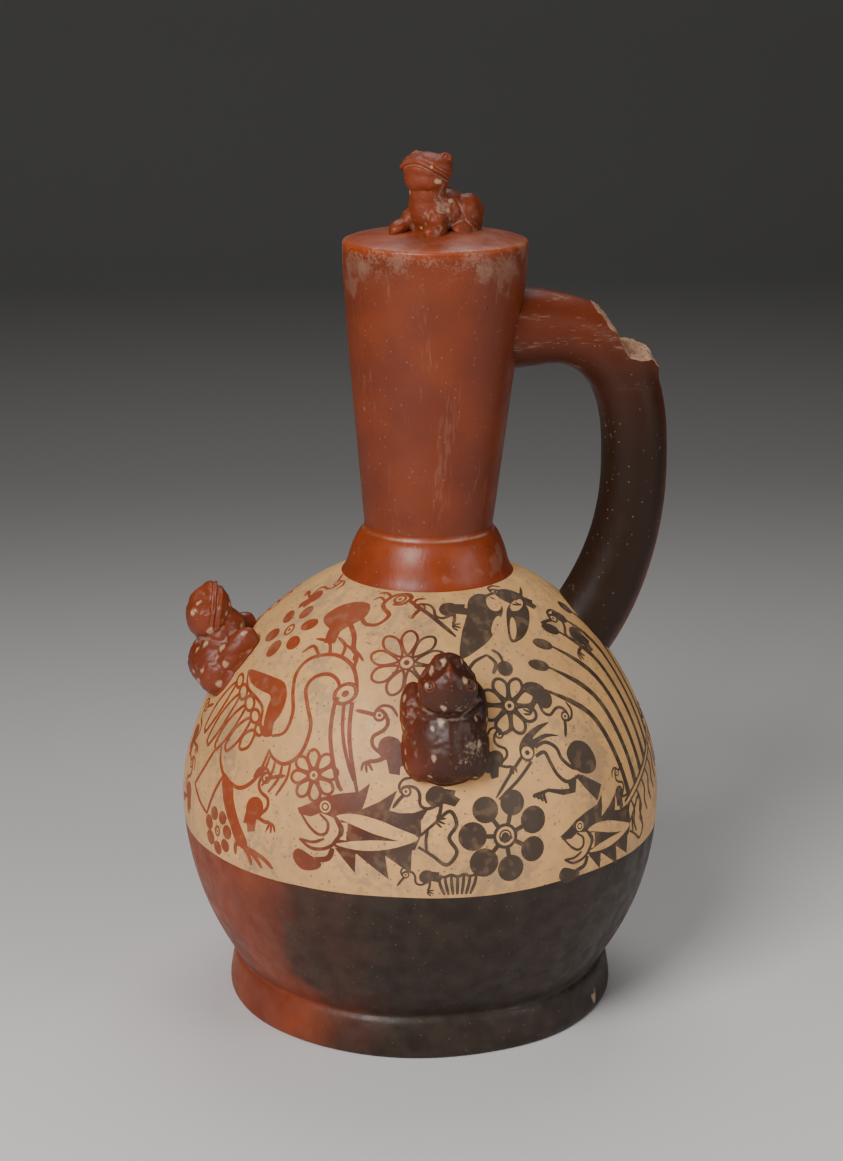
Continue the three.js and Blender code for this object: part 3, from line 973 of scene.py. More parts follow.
def break_block():
    """A block above the break, whose lower side is torn by noise."""
    bm = bmesh.new()
    spots = [Vector((SPOUT_X + out, -BREAK_DEPTH, HANDLE_TOP + up)) for out, up in BREAK_OUTLINE]
    spots = evenly(spots, BREAK_POINT_GAP)
    verts = [bm.verts.new(spot) for spot in spots]
    edges = [bm.edges.new(pair) for pair in zip(verts, verts[1:])]
    for _ in range(int(2 * BREAK_DEPTH / BREAK_STEP)):
        edges, verts = extruded(bm, edges)
        bmesh.ops.translate(bm, verts=verts, vec=(0, BREAK_STEP, 0))
    for vert in bm.verts:
        vert.co.z += BREAK_TILT * vert.co.y
        vert.co.z += BREAK_GRAIN * sum(share * noise.noise(vert.co / size) for size, share in BREAK_LUMPS)
        vert.co.x += BREAK_SIDE_GRAIN * noise.noise(vert.co / BREAK_SIDE_LUMP + BREAK_SIDE_SHIFT)
    lid = bmesh.ops.extrude_face_region(bm, geom=bm.faces[:])["geom"]
    bmesh.ops.translate(bm, verts=verts_of(lid), vec=(0, 0, BLOCK_HEIGHT))
    return as_object(bm, "break_block", [BROKEN_CLAY])


def boolean(piece, other, operation):
    cut = piece.modifiers.new(operation.lower(), "BOOLEAN")
    cut.operation = operation
    cut.solver = "EXACT"
    cut.object = other
    cut.material_mode = "TRANSFER"
    apply_modifiers(piece)


def discard(piece):
    bpy.data.objects.remove(piece)


def make_handle():
    handle = as_object(rod(HANDLE_PATH, handle_radius, ROD_SIDES), "handle", [HANDLE_SLIP])
    stump = upright_rod("stump", HANDLE_SLIP, SPOUT_RADIUS, STUMP_RISE, ROD_SIDES)
    boolean(handle, stump, "UNION")
    flowed_together(handle, HANDLE_VOXEL, HANDLE_SMOOTHING)
    longer = [HANDLE_PATH[0] - BORE_PAST_NECK, *HANDLE_PATH, HANDLE_PATH[-1] + BORE_PAST_BODY]
    bore = as_object(rod(longer, lambda share: HANDLE_BORE, BORE_SIDES), "bore", [BROKEN_CLAY])
    spout_bore = upright_rod("spout_bore", BROKEN_CLAY, HANDLE_BORE, SPOUT_BORE_RISE, BORE_SIDES)
    block = break_block()
    for tool in (bore, spout_bore, block):
        boolean(handle, tool, "DIFFERENCE")
    for tool in (stump, spout_bore, block):
        discard(tool)
    return handle, bore


def mark_outer_side(mesh):
    """Stores 1 on the side of the handle that faces away from the bottle, and 0 on the other."""
    path = np.array([tuple(point) for point in HANDLE_PATH])
    along = np.gradient(path, axis=0)
    out = np.stack([-along[:, 2], np.zeros(len(path)), along[:, 0]], axis=1)
    out /= np.linalg.norm(out, axis=1)[:, None]
    values = []
    for vert in mesh.vertices:
        gaps = np.array(vert.co) - path
        near = int(np.argmin((gaps ** 2).sum(axis=1)))
        values.append(0.5 + 0.5 * float(gaps[near] @ out[near]) / HANDLE_RADIUS)
    store(mesh, "outer", np.clip(values, 0.0, 1.0))


handle, bore = make_handle()
mark_outer_side(handle.data)
print("handle has", len(handle.data.polygons), "faces and materials",
      [m.name for m in handle.data.materials])

# %% Bore through the neck and the body
boolean(neck, bore, "DIFFERENCE")
boolean(body, bore, "DIFFERENCE")
discard(bore)
for piece in (body, neck, handle):
    finished(piece)

# %% [markdown]
# ## Frogs
#
# Each frog was pinched from a few lumps of clay and pressed on. The same works here: round lumps are set
# out along the frog, a voxel remesh flows them into one skin, and a few moves of the skin then press in
# the mouth, the eyes and the folds. In a frog's own space x runs from rump to snout, y is sideways and z
# points away from the clay that it sits on.

# %% Lumps and skin
FROG_VOXEL = 0.42
FROG_SMOOTHING = 7
CLIMBING_LUMPS = [
    {"at": (5.5, 0, 2.8), "size": (12.8, 12.6, 11.0)},
    {"at": (1.6, 0, 2.6), "size": (9.0, 12.4, 10.4)},
    {"at": (12.5, 0, 5.4), "size": (10.4, 10.6, 9.0), "pitch": -35},
    {"at": (16.6, 0, 7.6), "size": (8.0, 8.2, 8.0), "pitch": -60},
    {"at": (19.0, 0, 14.4), "size": (10.6, 9.8, 8.0), "pitch": -22},
    {"at": (24.6, 0, 17.0), "size": (5.4, 6.6, 4.8), "pitch": -30},
    {"at": (2.4, 8.6, 1.8), "size": (9.0, 5.6, 6.8), "pitch": 6, "pair": True},
    {"at": (13.6, 9.8, 1.0), "size": (10.4, 4.8, 5.6), "pitch": 8, "pair": True},
]
SITTING_LUMPS = [
    {"at": (-4.0, 0, 5.8), "size": (13.2, 10.4, 9.8), "pitch": -14},
    {"at": (4.2, 0, 7.6), "size": (7.4, 7.4, 10.4), "pitch": 5},
    {"at": (5.4, 0, 15.0), "size": (6.7, 6.6, 9.4)},
    {"at": (5.8, 0, 19.4), "size": (7.9, 8.3, 7.0)},
    {"at": (5.4, 0, 22.6), "size": (8.8, 9.6, 5.8), "pitch": -6},
    {"at": (2.8, 5.4, 25.8), "size": (3.6, 2.9, 2.2), "pair": True},
    {"at": (-8.4, 8.0, 5.4), "size": (7.8, 4.9, 7.8), "pair": True},
    {"at": (7.0, 5.6, 4.0), "size": (4.6, 3.6, 4.6), "pitch": 24, "pair": True},
    {"at": (11.0, 7.2, 1.8), "size": (5.6, 3.5, 2.9), "pitch": 4, "pair": True},
    {"at": (-3.0, 10.4, 1.2), "size": (6.4, 3.4, 2.6), "pair": True},
]


def clay_skin(name, lumps):
    bm = bmesh.new()
    for lump in lumps:
        x, y, z = lump["at"]
        for side in (1, -1) if lump.get("pair") else (1,):
            tilt = Matrix.Rotation(math.radians(lump.get("pitch", 0)), 4, "Y")
            shape = Matrix.Translation((x, side * y, z)) @ tilt @ Matrix.Diagonal((*lump["size"], 1.0))
            bmesh.ops.create_icosphere(bm, subdivisions=3, radius=1.0, matrix=shape)
    return flowed_together(as_object(bm, name, []), FROG_VOXEL, FROG_SMOOTHING)


def bell(distance, width):
    return math.exp(-((distance / width) ** 2))


print("frogs start from", len(CLIMBING_LUMPS), "and", len(SITTING_LUMPS), "lumps")

# %% [markdown]
# ### Pressing in the features
#
# A pointed tool drew two lines for the lips, rings for the eyes and a ridge between them. Every vertex
# moves along its normal by a sum of small bells: each bell is a groove or a ridge around a line or a point.

# %% Features of the climbing frogs and of the sitting one, in mm
FACET_TILT = Vector((0.5, 0.62, 0.6)).normalized()
FACET_DEPTH = 9.3
FACET_CUT = 2.2
FACET_PRESS = 0.8
HEAD_START = 12
SNOUT_START = 24.5
HEAD_MIDDLE = Vector((19.6, 0.0, 14.9))
CLIMBING_EYE = Vector((18.6, 6.4, 20.0))
EYE_RING = 1.7
EYE_GROOVE = 0.8
LIP_WIDTH = 1.15
SNOUT_TIP, MOUTH_CORNER = Vector((34.0, 18.2)), Vector((17.2, 11.4))
UPPER_LIP_FRONT, UPPER_LIP_BACK = Vector((0.4, 2.3)), Vector((0.9, 2.2))
NAPE = Vector((9.5, 16.0)), Vector((15.5, 6.0))
THIGH_FOLD = Vector((-5.0, 8.0)), Vector((8.0, 8.2))
ELBOW_FOLD = Vector((9.5, 6.0)), Vector((18.0, -3.0))
SITTING_EYE = Vector((4.0, 7.4, 27.0))
MOUTH_HEIGHT, MOUTH_DROP, MOUTH_TURN = 24.6, 6.2, 1.5
HEAD_FOLD = Vector((-2.0, 20.0)), Vector((1.5, 9.0))
SITTING_THIGH = Vector((-3.6, 1.0)), Vector((-1.2, 11.0))


def distance_to_stretch(point, start, end):
    """Distance in the plane to a straight stretch."""
    along = end - start
    share = min(1.0, max(0.0, (point - start).dot(along) / along.length_squared))
    return (point - start - along * share).length


def ridge(distance, height, width):
    """How far a raised line moves the skin out at a distance from its middle."""
    return height * bell(distance, width)


def groove(distance, depth, width):
    return -depth * bell(distance, width)


def after(value, start, run):
    """0 up to the start, then rising to 1 over the run."""
    return eased((value - start) / run)


def before(value, end, run):
    return eased((end - value) / run)


def press_eye(place, eye):
    """A raised ring with a groove inside it and a round pupil in the middle."""
    away = (place - eye).length
    ring = ridge(away - EYE_RING, height=0.5, width=0.5)
    return ring + groove(away - EYE_GROOVE, depth=0.35, width=0.4) + ridge(away, height=0.35, width=0.6)


def climbing_features(place):
    """How far the features move the skin of a climbing frog out at a place."""
    side = abs(place.y)
    side_view, top_view = Vector((place.x, place.z)), Vector((place.x, side))
    move = press_eye(Vector((place.x, side, place.z)), CLIMBING_EYE)
    on_side = after(side, 1.0, run=3.0) + after(place.x, 26.0, run=3.0)
    lip = distance_to_stretch(side_view, SNOUT_TIP, MOUTH_CORNER)
    second = distance_to_stretch(side_view, SNOUT_TIP + UPPER_LIP_FRONT, MOUTH_CORNER + UPPER_LIP_BACK)
    lips = groove(lip, depth=0.75, width=0.5) + ridge(lip - LIP_WIDTH, height=0.3, width=0.5)
    lips += groove(second, depth=0.55, width=0.45)
    move += lips * min(1.0, on_side) * after(place.z, 8.0, run=2.5)
    crown = after(place.x, 17.0, run=4.0) * after(place.z, 17.0, run=3.0)
    crown *= 1.0 - after(place.x, SNOUT_START, run=3.0)
    move += ridge(place.y, height=0.4, width=1.2) * crown + groove(side - 3.0, depth=0.3, width=1.5) * crown
    move += groove(distance_to_stretch(side_view, *NAPE), depth=0.5, width=0.9)
    back = before(place.x, 8.0, run=4.0) * after(place.z, 6.0, run=3.0)
    move += back * (ridge(place.y, height=0.25, width=1.4) + groove(side - 3.2, depth=0.22, width=1.5))
    thigh = groove(distance_to_stretch(top_view, *THIGH_FOLD), depth=0.3, width=0.8)
    move += thigh * after(place.z, 1.0, run=3.0) * before(place.z, 10.0, run=3.0)
    elbow = groove(distance_to_stretch(side_view, *ELBOW_FOLD), depth=0.3, width=0.9)
    return move + elbow * after(side, 6.0, run=2.5)


def sitting_features(place):
    """The same for the sitting frog: a wide mouth, folds at the head and thighs, and a ridged back."""
    side = abs(place.y)
    side_view = Vector((place.x, place.z))
    move = press_eye(Vector((place.x, side, place.z)), SITTING_EYE)
    round_head = math.atan2(side, place.x - 3.0)
    front = after(place.x, 2.0, run=3.0)
    line = place.z - (MOUTH_HEIGHT - MOUTH_DROP * eased(round_head / MOUTH_TURN))
    move += front * (groove(line, depth=0.85, width=0.5) + ridge(line - 1.3, height=0.45, width=0.8))
    move += front * groove(line - 2.9, depth=0.4, width=0.5)
    move += groove(distance_to_stretch(side_view, *HEAD_FOLD), depth=0.4, width=1.2)
    thigh = groove(distance_to_stretch(side_view, *SITTING_THIGH), depth=0.5, width=0.7)
    move += thigh * after(side, 5.0, run=2.0)
    back = before(place.x, -1.0, run=3.0) * after(place.z, 8.0, run=3.0)
    spine = ridge(place.y, height=0.45, width=1.3) + groove(side - 3.2, depth=0.45, width=1.0)
    return move + back * spine


def flattened_facets(place):
    """The head's top is pressed to two flat sides that meet in a ridge."""
    tilt = Vector((FACET_TILT.x, math.copysign(FACET_TILT.y, place.y), FACET_TILT.z))
    over = (place - HEAD_MIDDLE).dot(tilt) - FACET_DEPTH + FACET_CUT
    blunt = 1.0 - after(place.x, SNOUT_START, run=5.0)
    on_head = place.x > HEAD_START and place.z > HEAD_START
    return place - tilt * over * FACET_PRESS * blunt if over > 0 and on_head else place


print("eyes are", EYE_RING, "mm rings")

# %% Hollowness, spots and the making of a frog
HOLLOW_ROUNDS = 10
HOLLOW_DEPTH = 0.5
HOLLOW_LEVEL = 0.05
SPOTS_ABOVE = 1.0
SPOT_GAP = 3.6
SPOT_SIZES = (0.5, 1.25)
SPOT_STRETCH = 0.62
SPOT_RAGGED, SPOT_GRAIN = 0.55, 1.2
SPOT_CORE, SPOT_EDGE = 0.62, 0.4
RUMP_START, RUMP_RUN = 10.0, 14.0
COARSE_GRAIN, FINE_GRAIN = (0.35, 4.0), (0.12, 1.4)
FLARE_WIDTH, FLARE_HEIGHT = 1.1, 0.9
FLARE_OVAL = (18.0, 13.0)


def neighbour_means(mesh, values):
    """The mean of the values at the neighbours of each vertex."""
    ends = np.empty(len(mesh.edges) * 2, dtype=np.int64)
    mesh.edges.foreach_get("vertices", ends)
    ends = ends.reshape(-1, 2)
    total = np.zeros_like(values)
    count = np.zeros(len(values))
    for a, b in ((0, 1), (1, 0)):
        np.add.at(total, ends[:, a], values[ends[:, b]])
        np.add.at(count, ends[:, a], 1.0)
    return total / count.reshape((-1,) + (1,) * (values.ndim - 1))


def mark_hollows(mesh):
    """Stores 0.5 on flat places, more in hollows and less on ridges."""
    places = np.empty(len(mesh.vertices) * 3)
    mesh.vertices.foreach_get("co", places)
    places = places.reshape(-1, 3)
    normals = np.empty(len(mesh.vertices) * 3)
    mesh.vertex_normals.foreach_get("vector", normals)
    smooth = places.copy()
    for _ in range(HOLLOW_ROUNDS):
        smooth = neighbour_means(mesh, smooth)
    depths = ((smooth - places) * normals.reshape(-1, 3)).sum(axis=1)
    store(mesh, "hollow", np.clip(0.5 + (depths + HOLLOW_LEVEL) / HOLLOW_DEPTH, 0.0, 1.0))


def mark_spots(mesh, count, seed):
    """Brushed cream spots: ovals of a few millimetres on the upper skin."""
    chosen = random.Random(seed)
    places = [vert.co.copy() for vert in mesh.vertices if vert.co.z > SPOTS_ABOVE]
    spots = []
    while len(spots) < count:
        at = chosen.choice(places)
        if all((at - other).length > SPOT_GAP for other, _ in spots):
            spots.append((at, chosen.uniform(*SPOT_SIZES)))
    values = np.zeros(len(mesh.vertices))
    for i, vert in enumerate(mesh.vertices):
        for at, size in spots:
            gap = vert.co - at
            gap.x *= SPOT_STRETCH
            ragged = gap.length + SPOT_RAGGED * noise.noise(vert.co / SPOT_GRAIN)
            values[i] = max(values[i], 1.0 - eased((ragged - size * SPOT_CORE) / (size * SPOT_EDGE)))
    store(mesh, "spot", values)


def make_frog(name, lumps, features, material, spots, seed, rump=0.0):
    """rump is how far the hind end is pushed towards the head, in mm."""
    frog = clay_skin(name, lumps)
    mesh = frog.data
    for vert in mesh.vertices:
        vert.co.x += rump * eased((RUMP_START - vert.co.x) / RUMP_RUN)
    normals = [vert.normal.copy() for vert in mesh.vertices]
    climbing = features is climbing_features
    for vert, normal in zip(mesh.vertices, normals):
        place = flattened_facets(vert.co) if climbing else vert.co
        uneven = COARSE_GRAIN[0] * noise.noise(place / COARSE_GRAIN[1] + Vector((seed, 0, 0)))
        uneven += FINE_GRAIN[0] * noise.noise(place / FINE_GRAIN[1])
        vert.co = place + normal * (features(place) + uneven)
    for vert in mesh.vertices:
        ground = -(vert.co.x ** 2 + vert.co.y ** 2) / (2 * BODY_RADIUS) if climbing else 0.0
        flare = FLARE_WIDTH * math.exp(-max(0.0, vert.co.z - ground) / FLARE_HEIGHT)
        vert.co += Vector((vert.co.x / FLARE_OVAL[0], vert.co.y / FLARE_OVAL[1], 0.0)).normalized() * flare
    mark_hollows(mesh)
    mark_spots(mesh, spots, seed)
    mesh.materials.append(material)
    return frog


print("frog maker is ready")

# %% Place the four frogs
SEAT_HEIGHT = WIDEST_HEIGHT + 0.5 * UPPER_HEIGHT
SHOULDER_FROGS = {
    "left_frog": {"turn": -90, "spots": 34, "seed": 3, "drop": 0.0, "rump": 2.2},
    "front_frog": {"turn": 0, "spots": 32, "seed": 8, "drop": 4.2, "rump": -3.2},
    "back_frog": {"turn": 180, "spots": 30, "seed": 5, "drop": 3.0, "rump": 0.0},
}
TOP_FROG_TURN = -41.5
TOP_FROG_SCALE = 0.95
TOP_FROG_SPOTS, TOP_FROG_SEED = 9, 11
TOP_FROG_SEAT = 0.75


def shoulder_seat(turn, drop):
    """Where a frog sits: turned round the axis, and so many mm lower than the highest one."""
    level = SEAT_HEIGHT - drop
    run = body_radius(level + 1) - body_radius(level - 1)
    uphill = Vector((run, 0.0, 2.0)).normalized()
    outward = Vector((uphill.z, 0.0, -uphill.x))
    sideways = outward.cross(uphill)
    basis = Matrix((uphill, sideways, outward)).transposed().to_4x4()
    at = Matrix.Translation((body_radius(level), 0.0, level))
    return Matrix.Rotation(math.radians(turn - 90), 4, "Z") @ at @ basis


for name, made in SHOULDER_FROGS.items():
    frog = make_frog(name, CLIMBING_LUMPS, climbing_features, FROG_SLIP,
                     made["spots"], made["seed"], made["rump"])
    frog.data.transform(shoulder_seat(made["turn"], made["drop"]))
    finished(frog)
top_frog = make_frog("top_frog", SITTING_LUMPS, sitting_features, TOP_FROG_SLIP,
                     TOP_FROG_SPOTS, TOP_FROG_SEED)
seat = NECK_TOP + DISK_RISE * TOP_FROG_SEAT
facing = Matrix.Rotation(math.radians(TOP_FROG_TURN - 90), 4, "Z")
standing = Matrix.Translation((lean(seat), 0.0, seat)) @ facing
top_frog.data.transform(standing @ Matrix.Scale(TOP_FROG_SCALE, 4))
finished(top_frog)

# %% [markdown]
# ## Painting the band
#
# The painter worked in slip on the cream ground: birds of the marsh, fish, flowers and reeds, in one coat
# with a steady line. Paint is thin but real, so each stroke here is a thin plate laid on the wall. A brush
# collects the flat shapes of one figure, in millimetres east and north of its middle. The sheet is then
# cut into small cells and wrapped on the body, each shape a hair higher than the one painted before it.

# %% Where a step east and north ends on the body
CHART_HEIGHTS = np.arange(2.0, UPPER_HEIGHT + WIDEST_HEIGHT - 0.5, 0.25)
CHART_RADII = np.array([body_radius(height) for height in CHART_HEIGHTS])
CHART_TRAVEL = np.concatenate([[0.0], np.cumsum(np.hypot(np.diff(CHART_HEIGHTS), np.diff(CHART_RADII)))])
CHART_PROBE = 0.5
PAINT_DEPTH = 0.1
PAINT_LIFT = 0.06
COAT = 0.0016
BRUSH_LOAD = 1.18
STROKE_TAPER = 4
PUPIL_SHARE = 0.36
PAINT_EDGE_DEGREES = 30


def on_body(azimuth, height, east, north, lift):
    """The point that lies so far from a middle point along the surface, lifted off it by the coat."""
    travel = np.interp(height, CHART_HEIGHTS, CHART_TRAVEL) + north
    up = float(np.interp(travel, CHART_TRAVEL, CHART_HEIGHTS))
    radius = float(np.interp(travel, CHART_TRAVEL, CHART_RADII))
    turn = math.radians(azimuth) + east / radius
    way = Vector((math.sin(turn), -math.cos(turn), 0.0))
    probes = (travel - CHART_PROBE, travel + CHART_PROBE)
    lower, upper = np.interp(probes, CHART_TRAVEL, CHART_HEIGHTS)
    wide, narrow = np.interp(probes, CHART_TRAVEL, CHART_RADII)
    steep, inward = float(upper - lower), float(wide - narrow)
    outward = (way * steep + Vector((0.0, 0.0, inward))).normalized()
    place = way * radius + Vector((0.0, 0.0, up))
    place += way * wobble(place)
    place.x += lean(up)
    return place + outward * lift


band_foot = np.interp(BAND_BOTTOM, CHART_HEIGHTS, CHART_TRAVEL)
print("the band is", round(float(CHART_TRAVEL[-1] - band_foot)), "mm deep")

# %% Brush
def curve(points, closed=False, steps=5):
    """A smooth line through the points."""
    points = [Vector(point) for point in points]
    count = len(points)
    spans = count if closed else count - 1
    path = []
    for i in range(spans):
        if closed:
            a, b, c, d = (points[(i + k) % count] for k in (-1, 0, 1, 2))
        else:
            a, b, c, d = (points[min(count - 1, max(0, i + k))] for k in (-1, 0, 1, 2))
        for j in range(steps):
            t = j / steps
            path.append(0.5 * (2 * b + (c - a) * t + (2 * a - 5 * b + 4 * c - d) * t ** 2
                               + (3 * b - a - 3 * c + d) * t ** 3))
    return path if closed else path + [points[-1]]


def oval(x, y, wide, high, tilt=0.0, sides=22):
    turn = math.radians(tilt)
    ring = []
    for i in range(sides):
        a, b = wide * math.cos(2 * math.pi * i / sides), high * math.sin(2 * math.pi * i / sides)
        east = x + a * math.cos(turn) - b * math.sin(turn)
        north = y + a * math.sin(turn) + b * math.cos(turn)
        ring.append(Vector((east, north)))
    return ring


class Brush:
    def __init__(self):
        self.bm = bmesh.new()
        self.coats = 0

    def coat(self):
        self.coats += 1
        return self.coats * COAT

    def area(self, outline, cream=False):
        """Fills an outline with slip."""
        lift = self.coat()
        face = self.bm.faces.new([self.bm.verts.new((x, y, lift)) for x, y in outline])
        face.material_index = int(cream)

    def line(self, points, width=1.0, start=0.7, end=0.7, cream=False, smooth=True):
        """Draws a line whose ends are thinner or thicker than its middle."""
        width *= BRUSH_LOAD
        path = curve(points) if smooth else [Vector(point) for point in points]
        lift = self.coat()
        spine = [self.bm.verts.new((x, y, lift)) for x, y in path]
        wire = [self.bm.edges.new(pair) for pair in zip(spine, spine[1:])]
        moved = bmesh.ops.extrude_edge_only(self.bm, edges=wire)["geom"]
        twins = set(verts_of(moved))
        for i, vert in enumerate(spine):
            share = i / (len(spine) - 1)
            along = (path[min(i + 1, len(path) - 1)] - path[max(i - 1, 0)]).normalized()
            opening = start + (1 - start) * eased(share * STROKE_TAPER)
            closing = end + (1 - end) * eased((1 - share) * STROKE_TAPER)
            half = width / 2 * opening * closing
            across = Vector((-along.y, along.x, 0.0)) * half
            twin = next(e.other_vert(vert) for e in vert.link_edges if e.other_vert(vert) in twins)
            twin.co = vert.co - across
            vert.co = vert.co + across
        for item in moved:
            if isinstance(item, bmesh.types.BMFace):
                item.material_index = int(cream)

    def loop(self, points, width=0.9, cream=False):
        """Draws a closed line: it ends on its own start."""
        path = curve(points, closed=True)
        self.line(path + path[:2], width, 1.0, 1.0, cream, smooth=False)

    def dot(self, x, y, radius, cream=False):
        self.area(oval(x, y, radius, radius, sides=max(10, int(radius * 6))), cream)

    def ringed_eye(self, x, y, radius, width=0.8):
        self.dot(x, y, radius, cream=True)
        self.loop(oval(x, y, radius, radius, sides=12), width)
        self.dot(x, y, radius * PUPIL_SHARE)


print("brush is ready")

# %% Wrapping a figure on the body
CELL = 3.0
CELL_SHIFT = 0.37
paint = bmesh.new()


def sliced(bm):
    """Cuts the flat sheet into cells small enough to bend round the body."""
    for axis in (0, 1):
        values = [vert.co[axis] for vert in bm.verts]
        normal = (1, 0, 0) if axis == 0 else (0, 1, 0)
        for k in range(int(min(values) // CELL), int(max(values) // CELL) + 1):
            place = tuple(part * (k + CELL_SHIFT) * CELL for part in normal)
            geometry = bm.verts[:] + bm.edges[:] + bm.faces[:]
            bmesh.ops.bisect_plane(bm, geom=geometry, dist=0.0001, plane_co=place, plane_no=normal)


def apply_paint(draw, azimuth, height, turn=0.0, scale=1.0, mirror=False, **choices):
    brush = Brush()
    draw(brush, **choices)
    bm = brush.bm
    across = -scale if mirror else scale
    placing = Matrix.Rotation(math.radians(turn), 4, "Z") @ Matrix.Diagonal((across, scale, 1, 1))
    bm.transform(placing)
    bmesh.ops.remove_doubles(bm, verts=bm.verts[:], dist=0.00002)
    sliced(bm)
    for face in bm.faces:
        face.normal_update()
    turned = [face for face in bm.faces if face.normal.z < 0]
    bmesh.ops.reverse_faces(bm, faces=turned)
    raised = bmesh.ops.extrude_face_region(bm, geom=bm.faces[:])["geom"]
    tops = set(verts_of(raised))
    for vert in bm.verts:
        lift = PAINT_LIFT + vert.co.z if vert in tops else -PAINT_DEPTH
        vert.co = on_body(azimuth, height, vert.co.x, vert.co.y, lift)
    bmesh.ops.recalc_face_normals(bm, faces=bm.faces[:])
    sheet = bpy.data.meshes.new("sheet")
    bm.to_mesh(sheet)
    bm.free()
    paint.from_mesh(sheet)
    bpy.data.meshes.remove(sheet)


print("cells are", CELL, "mm")

# %% [markdown]
# ### Flowers, reeds and small things
#
# Two kinds of flower fill the ground: one of round dots about a ringed centre, and one of outlined petals.

# %% Flowers, comb and pods
PETAL = [(0.24, 0.0), (0.45, -0.6), (0.72, -0.92), (0.92, -0.6), (1.0, 0.0), (0.92, 0.6), (0.72, 0.92),
         (0.45, 0.6)]
PETAL_WIDTH = 0.66
TOOTH_GAP = 1.9


def dot_flower(brush, count=6, reach=10.0, dot=3.0, stalks=False, squash=1.0):
    for i in range(count):
        angle = 2 * math.pi * (i + 0.25) / count
        x, y = (reach - dot) * math.cos(angle), (reach - dot) * math.sin(angle)
        if stalks:
            brush.line([(0, 0), (x * 0.5, y * 0.5), (x, y)], 1.3, 1.0, 1.0)
        size = dot * (1.0 + 0.07 * math.sin(5.0 * i))
        brush.area(oval(x, y, size, size * squash, math.degrees(angle), sides=20))
    centre = reach * (0.2 if stalks else 0.15)
    if stalks:
        brush.dot(0, 0, centre + 1.1)
        brush.dot(0, 0, centre, cream=True)
        brush.loop(oval(0, 0, centre * 0.62, centre * 0.62, sides=12), 0.5)
        brush.dot(0, 0, centre * 0.42)
    else:
        brush.loop(oval(0, 0, centre, centre * 1.25, sides=12), 0.7)
        brush.dot(0, 0, centre * 0.35)


def petal_flower(brush, count=9, reach=12.0, width=0.8):
    half = math.pi / count
    for i in range(count):
        angle = 2 * half * (i + 0.3)
        long = reach * (1.0 + 0.05 * math.sin(3.1 * i))
        petal = []
        for along, across in PETAL:
            x, y = long * along, across * long * PETAL_WIDTH * math.tan(half) * 0.98
            east = x * math.cos(angle) - y * math.sin(angle)
            north = x * math.sin(angle) + y * math.cos(angle)
            petal.append((east, north))
        brush.loop(petal, width)
    brush.dot(0, 0, reach * 0.23)
    brush.dot(0, 0, reach * 0.17, cream=True)
    brush.dot(0, 0, reach * 0.08)


def bud(brush):
    brush.line([(-2.6, 7.6), (-0.6, 5.6), (0.0, 2.0)], 0.9)
    brush.dot(0, 0, 2.9)


def comb(brush, teeth=7):
    for i in range(teeth):
        x = (i - (teeth - 1) / 2) * TOOTH_GAP
        brush.line([(x * 0.75, -3.2), (x, 0.5), (x * 1.1, 3.4)], 0.9)
    rim = [(1.14 * (i - (teeth - 1) / 2) * TOOTH_GAP, 3.5 + 0.35 * math.cos(3.1 * i)) for i in range(teeth)]
    brush.line(rim, 0.9)


def reeds(brush):
    """Long stalks that rise from one edge and end in pods, with a striped bank below."""
    pods = [(-27.0, 2.8, 18), (-19.6, 10.2, 22), (-11.9, 17.2, 28), (-3.1, 21.4, 36), (7.0, 23.6, 44),
            (17.0, 24.4, 50)]
    for i, (x, y, tilt) in enumerate(pods):
        foot = Vector((-1.0 + 6.2 * i, -43.0 + 2.4 * i))
        head = Vector((x, y)) + Vector((math.cos(math.radians(tilt)), -math.sin(math.radians(tilt)))) * 3.0
        bend = head.lerp(foot, 0.42) + Vector((5.5, 5.5))
        brush.line([foot, head.lerp(foot, 0.76) + Vector((3.4, 2.6)), bend, head], 1.9, 1.25, 0.35)
        brush.area(oval(x, y, 3.9, 2.3, -tilt))
    bank = [Vector((-4.0, -45.6)), Vector((34.0, -30.6))]
    brush.line([bank[0], bank[0].lerp(bank[1], 0.5), bank[1]], 2.6, 1.0, 1.0)
    brush.line([bank[0], bank[0].lerp(bank[1], 0.5), bank[1]], 1.0, 1.0, 1.0, cream=True)
    for i in range(7):
        x, y = bank[0].lerp(bank[1], 0.1 + 0.14 * i)
        brush.line([(x, y - 1.2), (x + 1.6, y - 5), (x + 0.4, y - 9), (x + 2.2, y - 13)], 0.9)


print("plants are ready")

# %% [markdown]
# ### Birds
#
# Small waders repeat all over the band: a filled body, a snaking neck, a ringed eye and a clawed foot. The
# crane and the ibis are the large ones, drawn in outline with parts filled.

# %% Small birds
def claws(brush, x, y, size=1.0, spread=0.0):
    for i in range(3):
        tip = Vector((x - (2.6 - 1.9 * i) * size + spread, y - (3.4 + 0.5 * math.sin(2.0 * i)) * size))
        bend = ((x + tip.x) / 2 - 0.7 * size, y - 0.9 * size)
        brush.line([(x, y), bend, tip], 0.8 * size ** 0.5, 1.0, 0.5)


